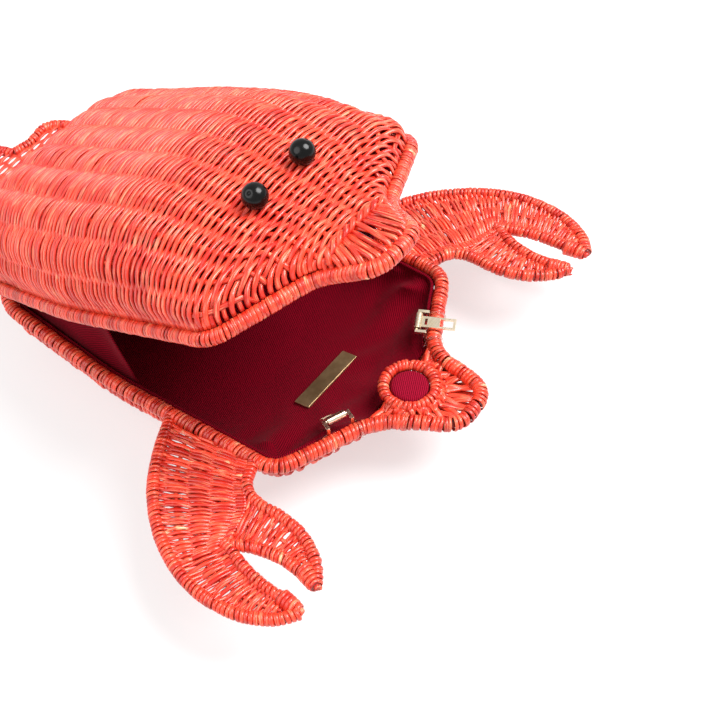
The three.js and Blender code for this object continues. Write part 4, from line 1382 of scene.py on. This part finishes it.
@dataclass
class Tail:
    """Woven tail fan with two side lobes and a middle lobe."""

    place: Placement
    z: float
    root_x: float
    seed: int = 60
    rod: float = 2.0
    binding: float = 2.55
    swing: float = 0.95
    side_line: tuple = ((3, 31), (-9, 26), (-20, 31), (-33, 44), (-47, 50), (-57, 42), (-56, 28), (-58, 17))
    middle_line: tuple = ((-58, 17), (-68, 13), (-73, 0), (-68, -13), (-58, -17))

    def curve(self, points: tuple, side: int) -> Array:
        """A frame line on one side."""
        path = spline(list(points), self.z)
        return path * [1, side, 1] + [self.root_x, 0, 0]

    def build(self, finishes: Wardrobe) -> None:
        """Makes the bindings, the canes inside them, the ribs and the cross strands.

        Args:
            finishes: The wardrobe that the pieces are dressed from.
        """
        rng = np.random.default_rng(self.seed)
        wrap, canes, panel, ribs = (Weave(rng) for _ in range(4))
        left, right = (self.curve(self.side_line, side) for side in (1, -1))
        middle = self.curve(self.middle_line, 1)
        for path in (left, right, middle):
            even = sample(path, np.linspace(0, along(path)[-1], int(along(path)[-1] / 1.5)))
            wrap.bind(even, self.binding)
            canes.add(even[None], np.tile(UP, (1, len(even), 1)), self.rod, self.rod, 8)
        outline = np.vstack([left, middle[1:], right[::-1][1:]])
        x = np.arange(self.root_x - 3, self.root_x - 71, -1.75)
        for i, station in enumerate(x):
            side = outline[:, 0] - station
            at = np.nonzero(side[:-1] * side[1:] < 0)[0]
            share = side[at] / (side[at] - side[at + 1])
            ys = np.sort(mix(outline[at, 1], outline[at + 1, 1], share))
            for low, high in zip(ys[::2], ys[1::2]):
                m = max(9, int((high - low) / 1.7))
                y = np.linspace(low, high, m)
                reach = np.interp(station, [self.root_x - 60, self.root_x - 3], [0.115, 0.2])
                wave = np.cos(math.pi * (y * reach + i % 2 + 0.5))
                path = np.column_stack([np.full(m, station), y, self.z + self.swing * wave])
                panel.add(path[None], np.tile(UP, (1, m, 1)), mix(0.9, 1.12, np.abs(wave)), 0.6)
        for k in range(-3, 4):
            run = np.linspace(0, 1, 40)
            tip = -70 if k == 0 else -56
            reach = np.interp(-run * 60, [-60, -3], [0.115, 0.2])
            y = k / reach
            line = np.column_stack([self.root_x - 3 + run * (tip + 3), y, np.full(40, self.z)])
            nearest = np.argsort(np.abs(outline[None, :, 0] - line[:, :1]), axis=1)[:, :6]
            width = np.abs(outline[nearest, 1]).max(axis=1)
            keep = np.abs(y) < width - 1
            if keep.sum() > 4:
                ribs.add(line[keep][None], np.tile(UP, (1, int(keep.sum()), 1)), 1.0, 0.8)
        body = Half.TRAY.value
        made = wrap.build("tail_binding", Half.TRAY, self.place)
        dress(made, finishes.red, "red_cane", body, "tail_frame")
        dress(canes.build("tail_canes", Half.TRAY, self.place), finishes.pole, "rattan_pole", body)
        made = panel.build("tail_strands", Half.TRAY, self.place)
        dress(made, finishes.red, "red_cane", body, "tail_web")
        made = ribs.build("tail_stakes", Half.TRAY, self.place)
        dress(made, finishes.red, "red_cane", body, "left_tail_rib", "right_tail_rib")


@dataclass
class Closure:
    """Bound ring, fan of strands to the snout tip and the cloth-covered buttons."""

    place: Placement
    tray: Basket
    lid: Basket
    centre: tuple[float, float] = (-31.0, 2.0)
    ring_radius: float = 12.3
    ring_tube: float = 2.3
    fan: int = 17
    lid_button_rise: float = 0.9
    seed: int = 80

    def ring(self) -> Array:
        """Centre line of the ring, level with the web.

        Returns:
            Points of the centre line, one per row.
        """
        angle = np.linspace(0, 2 * math.pi, 90, endpoint=False)
        z = (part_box("closure_ring")[0][2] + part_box("closure_ring")[1][2]) / 2 / MM
        return np.column_stack(
            [
                self.centre[0] + self.ring_radius * np.cos(angle),
                self.centre[1] + self.ring_radius * np.sin(angle),
                np.full(90, z),
            ]
        )

    def web(self, basket: Basket, z: float, name: str, nodes: tuple[str, ...], finishes: Wardrobe) -> None:
        """Strands that fan from the ring to the rim round the snout, crossing each other.

        Args:
            basket: The half whose snout is filled.
            z: Height of the web.
            name: Name of the piece.
            nodes: The CAD nodes it stands for.
            finishes: The wardrobe that the pieces are dressed from.
        """
        rng = np.random.default_rng(self.seed)
        weave = Weave(rng)
        rim = basket.rim_path()
        arc = rim[(rim[:, 0] > -40)]
        middle = basket.dome.skewed(-12.0, 0.0)
        arc = arc[np.argsort(np.arctan2(arc[:, 1] - middle, arc[:, 0] + 44))]
        over = 4.0 if basket.dome.half is Half.TRAY else 0.0
        for layer, shift in enumerate((-0.035, 0.035)):
            share = np.linspace(0.0, 1.0, self.fan) + rng.normal(0, 0.008, self.fan)
            ends = sample(arc, np.clip(share + shift, 0, 1) * along(arc)[-1])
            angle = np.radians(mix(-104.0, 104.0, np.clip(share - shift, 0, 1)))
            around = np.column_stack([np.cos(angle), np.sin(angle)])
            starts = np.column_stack([self.centre + self.ring_radius * around, np.full(self.fan, z)])
            ends[:, 2] = mix(z, basket.dome.rim_z, 0.6)
            s = np.linspace(0, 1, 18)[None, :, None]
            paths = mix(starts[:, None], ends[:, None], s)
            wave = np.cos(math.pi * (3 * s[..., 0] + (np.arange(self.fan)[:, None] + layer) % 2))
            gap = np.linalg.norm(paths[..., :2] - np.array(self.centre), axis=-1) - self.ring_radius
            paths[..., 2] += 0.5 * wave + over * np.sqrt(np.clip(1 - (gap / 4.2) ** 2, 0, 1))
            weave.add(paths, np.tile(UP, (self.fan, 18, 1)), mix(1.6, 1.45, s[..., 0]), 0.5)
        half = basket.dome.half
        dress(weave.build(name, half, self.place), finishes.red, "red_cane", half.value, *nodes)

    def button(self, node: str, half: Half, radius: float, up: float, finishes: Wardrobe) -> None:
        """Covered button: a crowned disc whose cloth is drawn in round the edge in small gathers.

        The profile goes from the middle of the face over a rounded edge to the back; the edge's height
        ripples with the angle.

        Args:
            node: The CAD node it stands for.
            half: The half that it belongs to.
            radius: Radius of the button.
            up: 1 when its face points up, and -1 when it points down.
            finishes: The wardrobe that the pieces are dressed from.
        """
        height = 4.1 if half is Half.TRAY else 3.4
        share = np.array([0, 0.25, 0.5, 0.7, 0.84, 0.93, 0.985, 1.0, 0.99, 0.95, 0.8, 0.78])
        level = np.array([1, 0.995, 0.98, 0.94, 0.87, 0.76, 0.6, 0.42, 0.2, 0.04, 0.02, 0.3])
        angle = np.linspace(0, 2 * math.pi, 96, endpoint=False)
        ripple = 0.06 * np.sin(angle * 24) * smooth(share, 0.8, 1.0)[:, None]
        r = radius * share[:, None] + ripple
        z = height * level[:, None] + 0 * angle
        if half is Half.TRAY:
            origin = np.array([*self.centre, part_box(node)[0][2] / MM])
        else:
            origin = np.array([*self.centre, self.lid.dome.rim_z + self.lid_button_rise])
        grid = np.stack([r * np.cos(angle), r * np.sin(angle), up * z], -1) + origin
        obj = grid_object(f"{half.value}_button_cloth", grid, self.place, half, flip=up < 0, around=True)
        flat = np.stack([r * np.cos(angle), r * np.sin(angle), 0 * r], -1)
        obj.data.attributes.remove(obj.data.attributes["cloth"])
        attribute(obj, "cloth", "FLOAT_VECTOR", flat)
        weld(obj)
        dress(obj, finishes.button, "burgundy_twill", half.value, node)

    def build(self, finishes: Wardrobe) -> None:
        """Makes the ring, both webs and both buttons.

        Args:
            finishes: The wardrobe that the pieces are dressed from.
        """
        weave = Weave(np.random.default_rng(self.seed + 5))
        ring = self.ring()
        weave.bind(ring, self.ring_tube, closed=True, half_thick=0.5)
        weave.add(ring[None], np.tile(UP, (1, 90, 1)), 1.9, 1.9, 8, closed=True)
        made = weave.build("closure_ring_binding", Half.TRAY, self.place)
        dress(made, finishes.red, "red_cane", "tray", "closure_ring")
        web_z = self.tray.dome.rim_z - 1.6
        self.web(self.tray, web_z, "tray_snout_fan", ("tray_snout_web",), finishes)
        self.web(self.lid, self.lid.dome.rim_z + 2.2, "lid_snout_fan", ("lid_snout_web",), finishes)
        self.button("tray_button_cover", Half.TRAY, 9.1, 1.0, finishes)
        self.button("lid_button_cover", Half.LID, 8.7, -1.0, finishes)


def weld(obj: bpy.types.Object) -> None:
    """Merges points that coincide, such as those at the pole of a round grid.

    Args:
        obj: The piece.
    """
    tidy = bmesh.new()
    tidy.from_mesh(obj.data)
    bmesh.ops.remove_doubles(tidy, verts=tidy.verts, dist=1e-6)
    tidy.to_mesh(obj.data)
    tidy.free()


@dataclass
class Eyes:
    """Two drilled wooden beads on wire pegs."""

    place: Placement
    dome: Dome
    radius: float = 5.8
    hole: float = 0.55

    def build(self, finishes: Wardrobe) -> None:
        """A bead is a circle turned about its own axis, dimpled where it is drilled."""
        for side in Side:
            node = f"{side.word}_eye"
            low, high = (np.array(v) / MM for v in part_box(node))
            centre = (low + high) / 2
            polar = np.linspace(0, math.pi, 33)[:, None]
            angle = np.linspace(0, 2 * math.pi, 48, endpoint=False)
            dimple = 1 - self.hole / self.radius * 1.6 * np.exp(-((polar / 0.13) ** 2))
            r = self.radius * dimple
            across, level = r * np.sin(polar), r * np.cos(polar) + 0 * angle
            grid = np.stack([across * np.cos(angle), across * np.sin(angle), level], axis=-1)
            lean = np.array(Matrix.Rotation(math.radians(-38 * side.value), 3, "X"))
            grid = grid @ lean.T + centre - [self.place.tip_x, 0, 0]
            bead = grid_object(f"{side.word}_bead", grid, self.place, Half.TRAY, around=True)
            weld(bead)
            dress(bead, finishes.bead, "black_bead", "lid", node)
            closed = (centre - self.place.pivot) @ self.place.turn + self.place.pivot
            top = closed - [self.place.tip_x, 0, 0]
            base = self.dome.at(top[:1], top[1:2])[0]
            steps = mix(base[None] - [0, 0, 1.0], top[None], np.linspace(0, 1, 8)[:, None])
            peg = Weave(np.random.default_rng(7))
            peg.add(steps[None], np.tile(np.array([1.0, 0, 0]), (1, 8, 1)), 0.9, 0.9, 10)
            made = peg.build(f"{side.word}_eye_peg", Half.LID, self.place)
            dress(made, finishes.steel, "magnet_steel", "lid")


@dataclass
class Hardware:
    """Strap links, their wire staples, the clear thread round the rim and the name plate."""

    place: Placement
    rim: Array
    thread_radius: float = 0.2

    def build(self, finishes: Wardrobe) -> None:
        """Rounds the metal pieces' edges and winds the threads.

        Args:
            finishes: The wardrobe that the pieces are dressed from.
        """
        for side in Side:
            word = side.word
            link = softened(f"{word}_strap_link", f"{word}_link_plate", 0.22)
            dress(link, finishes.gold, "pale_gold", f"{word}_link", f"{word}_strap_link")
            staple = softened(f"{word}_strap_staple", f"{word}_staple_wire", 0.55)
            dress(staple, finishes.gold, "pale_gold", "tray", f"{word}_strap_staple")
            for k in (1, 2):
                self.thread(f"{word}_thread_loop_{k}", finishes)
        plate = softened("name_plate", "name_plate_bevelled", 0.35)
        dress(plate, finishes.brass, "aged_brass", "tray", "name_plate")

    def thread(self, node: str, finishes: Wardrobe) -> None:
        """Two strands of thread over the rim: an arc about the rim's centre line, ends in the wall.

        Args:
            node: The CAD node it stands for.
            finishes: The wardrobe that the pieces are dressed from.
        """
        low, high = (np.array(v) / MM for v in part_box(node))
        middle = (low + high) / 2 - [self.place.tip_x, 0, 0]
        near = np.argmin(np.linalg.norm(self.rim[:, :2] - middle[:2], axis=1))
        centre = self.rim[near]
        ahead = unit(self.rim[(near + 1) % len(self.rim)] - self.rim[near - 1])
        out = np.cross(ahead, UP)
        angle = np.radians(np.linspace(-28, 208, 26))[:, None]
        radius = BOUND_RIM_R + 0.55
        weave = Weave(np.random.default_rng(9))
        for shift in (-0.3, 0.3):
            line = centre + ahead * shift + (out * np.cos(angle) + UP * np.sin(angle)) * radius
            weave.add(line[None], (line - centre)[None], self.thread_radius, self.thread_radius)
        made = weave.build(f"{node}_strands", Half.TRAY, self.place)
        dress(made, finishes.thread, "clear_thread", "tray", node)


@dataclass
class HingeTies:
    """Flat cane strips that lash the two rims together at the rear."""

    place: Placement
    lower: float
    upper: float
    hinge_x: float = -238.0
    places: tuple[float, ...] = (-20.0, 0.0, 20.0)
    strips: int = 4
    reach: float = 4.75

    def build(self, finishes: Wardrobe) -> None:
        """A strip is a loop of two half circles about the rims joined by straight runs."""
        shift = np.array([self.place.tip_x, 0, 0])
        for number, y in enumerate(self.places, 1):
            top = np.array([self.hinge_x, y, self.upper])
            top = (top + shift - self.place.pivot) @ self.place.turn.T + self.place.pivot - shift
            low = np.array([self.hinge_x, y, self.lower])
            lean = math.atan2(top[2] - low[2], top[0] - low[0])
            arcs = []
            for centre, first in ((low, lean + math.pi / 2), (top, lean - math.pi / 2)):
                angle = np.linspace(first, first + math.pi, 12)
                flat = np.column_stack([np.cos(angle), 0 * angle, np.sin(angle)]) * self.reach
                arcs.append(flat + [centre[0], 0, centre[2]])
            loop = np.vstack(arcs)
            middle = loop.mean(axis=0)
            rng = np.random.default_rng(90 + number)
            weave = Weave(rng)
            for k in range(self.strips):
                line = loop + [0, y + (k - (self.strips - 1) / 2) * 1.95, 0]
                out = unit((loop - middle) * [1, 0, 1])
                weave.add(line[None], out[None], 0.93, 0.4, closed=True)
            made = weave.build(f"hinge_lashing_{number}", Half.TRAY, self.place)
            dress(made, finishes.red, "coral_cane", None, f"hinge_tie_{number}")
            blend_across(made)


def blend_across(obj: bpy.types.Object) -> None:
    """Bakes a piece's placement into its mesh."""
    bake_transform(obj)


@dataclass
class Gusset:
    """Cloth side wall between the rims near the hinge, with a few soft folds."""

    side: Side
    place: Placement
    outline: RimOutline
    lower: float
    upper: float
    front: float = -140.0
    rear: float = -226.0
    inset: float = 7.6
    tuck: float = 5.0
    fold: float = 1.6
    thickness: float = 0.5

    def build(self, finishes: Wardrobe) -> None:
        """Rows run up from inside the tray's rim to inside the lid's rim. Folds are sines along them.

        Args:
            finishes: The wardrobe that the pieces are dressed from.
        """
        shift = np.array([self.place.tip_x, 0, 0])
        x = np.linspace(self.front, self.rear, 44)
        y = self.outline.width_at(x, self.inset) * self.side.value
        bottom = np.column_stack([x, y, np.full(44, self.lower - self.tuck)])
        top = np.column_stack([x, y, np.full(44, self.upper + self.tuck)])
        top = (top + shift - self.place.pivot) @ self.place.turn.T + self.place.pivot - shift
        s = np.linspace(0, 1, 30)[:, None]
        grid = mix(bottom[None], top[None], s[..., None])
        inward = -self.side.value
        crease = np.sin(x[None] / 9.0 + 2.2 * s) + 0.6 * np.sin(x[None] / 5.1 - 1.4 * s + 1)
        grid[..., 1] += inward * self.fold * np.sin(math.pi * s) * (1.2 + crease)
        obj = grid_object(
            f"{self.side.word}_gusset_cloth", grid, self.place, Half.TRAY, flip=self.side is Side.RIGHT
        )
        thicken(obj, self.thickness)
        dress(obj, finishes.twill, "burgundy_twill", None, f"{self.side.word}_gusset")
        blend_across(obj)


def dress_hidden(finishes: Wardrobe) -> None:
    """Gives the CAD nodes that stay their finishes.

    Args:
        finishes: The wardrobe that the pieces are dressed from.
    """
    kept = {
        "tray_rim_pole": finishes.pole,
        "lid_rim_pole": finishes.pole,
        "tray_magnet": finishes.steel,
        "lid_magnet": finishes.steel,
    }
    for node, material in kept.items():
        slots = frame["nodes"][node].material_slots
        for slot in slots:
            slot.material = material
    LOG.info("kept nodes dressed: %s", ", ".join(kept))


# ------------------------------------------------------------------ studio


@dataclass(frozen=True)
class Studio:
    """Pale floor, soft lights and the camera."""

    target: tuple[float, float, float] = (0.0802, 0.0025, 0.0368)
    azimuth: float = 38.1
    elevation: float = 51.7
    roll: float = -3.9
    distance: float = 0.657
    lens: float = 69.65
    sensor: float = 36.0

    def floor(self) -> None:
        """A wide pale floor under the bag."""
        mesh = bpy.data.meshes.new("floor")
        reach = 4.0
        square = [(-reach, -reach, 0), (reach, -reach, 0), (reach, reach, 0), (-reach, reach, 0)]
        mesh.from_pydata(square, [], [(0, 1, 2, 3)])
        obj = bpy.data.objects.new("floor", mesh)
        bpy.context.scene.collection.objects.link(obj)
        s = Sheet("studio floor")
        white = (1.0, 1.0, 1.0, 1.0)
        grey = (0.4, 0.4, 0.4, 1.0)
        mesh.materials.append(
            s.finish(
                Base_Color=grey,
                Roughness=0.9,
                Specular_IOR_Level=0.1,
                Emission_Color=white,
                Emission_Strength=0.58,
            )
        )

    def light(self, name: str, place: tuple[float, float, float], size: float, power: float) -> None:
        """A round soft light that faces the bag.

        Args:
            name: The light's name.
            place: Where it stands, in metres.
            size: Its width, in metres.
            power: Its power, in watts.
        """
        data = bpy.data.lights.new(name, "AREA")
        data.shape = "DISK"
        data.size = size
        data.energy = power
        obj = bpy.data.objects.new(name, data)
        obj.location = place
        aim = Vector(self.target) - Vector(place)
        obj.rotation_euler = aim.to_track_quat("-Z", "Y").to_euler()
        bpy.context.scene.collection.objects.link(obj)

    def camera(self) -> None:
        """Camera at a distance from the target, turned by azimuth and elevation, then rolled."""
        a, e, r = (math.radians(v) for v in (self.azimuth, self.elevation, self.roll))
        back = Vector((math.sin(a) * math.cos(e), -math.cos(a) * math.cos(e), math.sin(e)))
        level = Vector((math.cos(a), math.sin(a), 0))
        over = back.cross(level)
        right = level * math.cos(r) + over * math.sin(r)
        up = over * math.cos(r) - level * math.sin(r)
        data = bpy.data.cameras.new("camera")
        data.lens = self.lens
        data.sensor_width = self.sensor
        obj = bpy.data.objects.new("camera", data)
        turn = Matrix((right, up, back)).transposed().to_4x4()
        turn.translation = Vector(self.target) + back * self.distance
        obj.matrix_world = turn
        bpy.context.scene.collection.objects.link(obj)
        bpy.context.scene.camera = obj

    def build(self) -> None:
        """Sets up the studio."""
        self.floor()
        self.light("key", (0.62, 0.55, 1.3), 1.0, 34)
        self.light("fill", (-0.5, -1.1, 1.2), 1.6, 15)
        world = bpy.data.worlds.new("studio")
        world.use_nodes = True
        world.node_tree.nodes["Background"].inputs["Color"].default_value = (1, 1, 1, 1)
        world.node_tree.nodes["Background"].inputs["Strength"].default_value = 0.62
        bpy.context.scene.world = world
        bpy.context.scene.view_settings.view_transform = "Standard"
        self.camera()


# ------------------------------------------------------------------ main


def main() -> None:
    """Builds the bag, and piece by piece."""
    logging.basicConfig(level=logging.INFO, format="%(message)s")
    Studio().build()
    finishes = Wardrobe.made()
    outline = RimOutline()
    place = Placement.from_frame(binding_radius=BOUND_RIM_R)
    rim_z = (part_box("tray_rim_pole")[0][2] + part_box("tray_rim_pole")[1][2]) / 2 / MM
    lid_rim_z = rim_z + RIM_GAP
    shorter = ((-4, 11.8, 11.5), (-31.5, 23.8, 24), (-53.5, 69.4, 13.4), *outline.corners[3:])
    tray_dome = Dome(Half.TRAY, outline, rim_z, crown=35.5, skew=7.5, floor_z=2.5, inset=1.4)
    lid_dome = Dome(Half.LID, RimOutline(shorter), lid_rim_z, crown=44.5, skew=-2.3, inset=0.5)
    tray = Basket(tray_dome, place, seed=11)
    lid = Basket(lid_dome, place, seed=21, rim_pitch=1.8, rim_wander=0.75)
    for basket, front in ((tray, -40.0), (lid, -30.0)):
        basket.build(finishes)
        Lining(basket, front=front).build(place, finishes)
    Closure(place, tray, lid).build(finishes)
    for side in Side:
        Claw(side, place, rim_z).build(finishes)
        Gusset(side, place, outline, rim_z, lid_rim_z).build(finishes)
    Tail(place, rim_z, outline.corners[-1][0] - BOUND_RIM_R).build(finishes)
    Eyes(place, lid.dome).build(finishes)
    Hardware(place, tray.rim_path()).build(finishes)
    HingeTies(place, rim_z, lid_rim_z).build(finishes)
    dress_hidden(finishes)


if __name__ == "__main__":
    main()
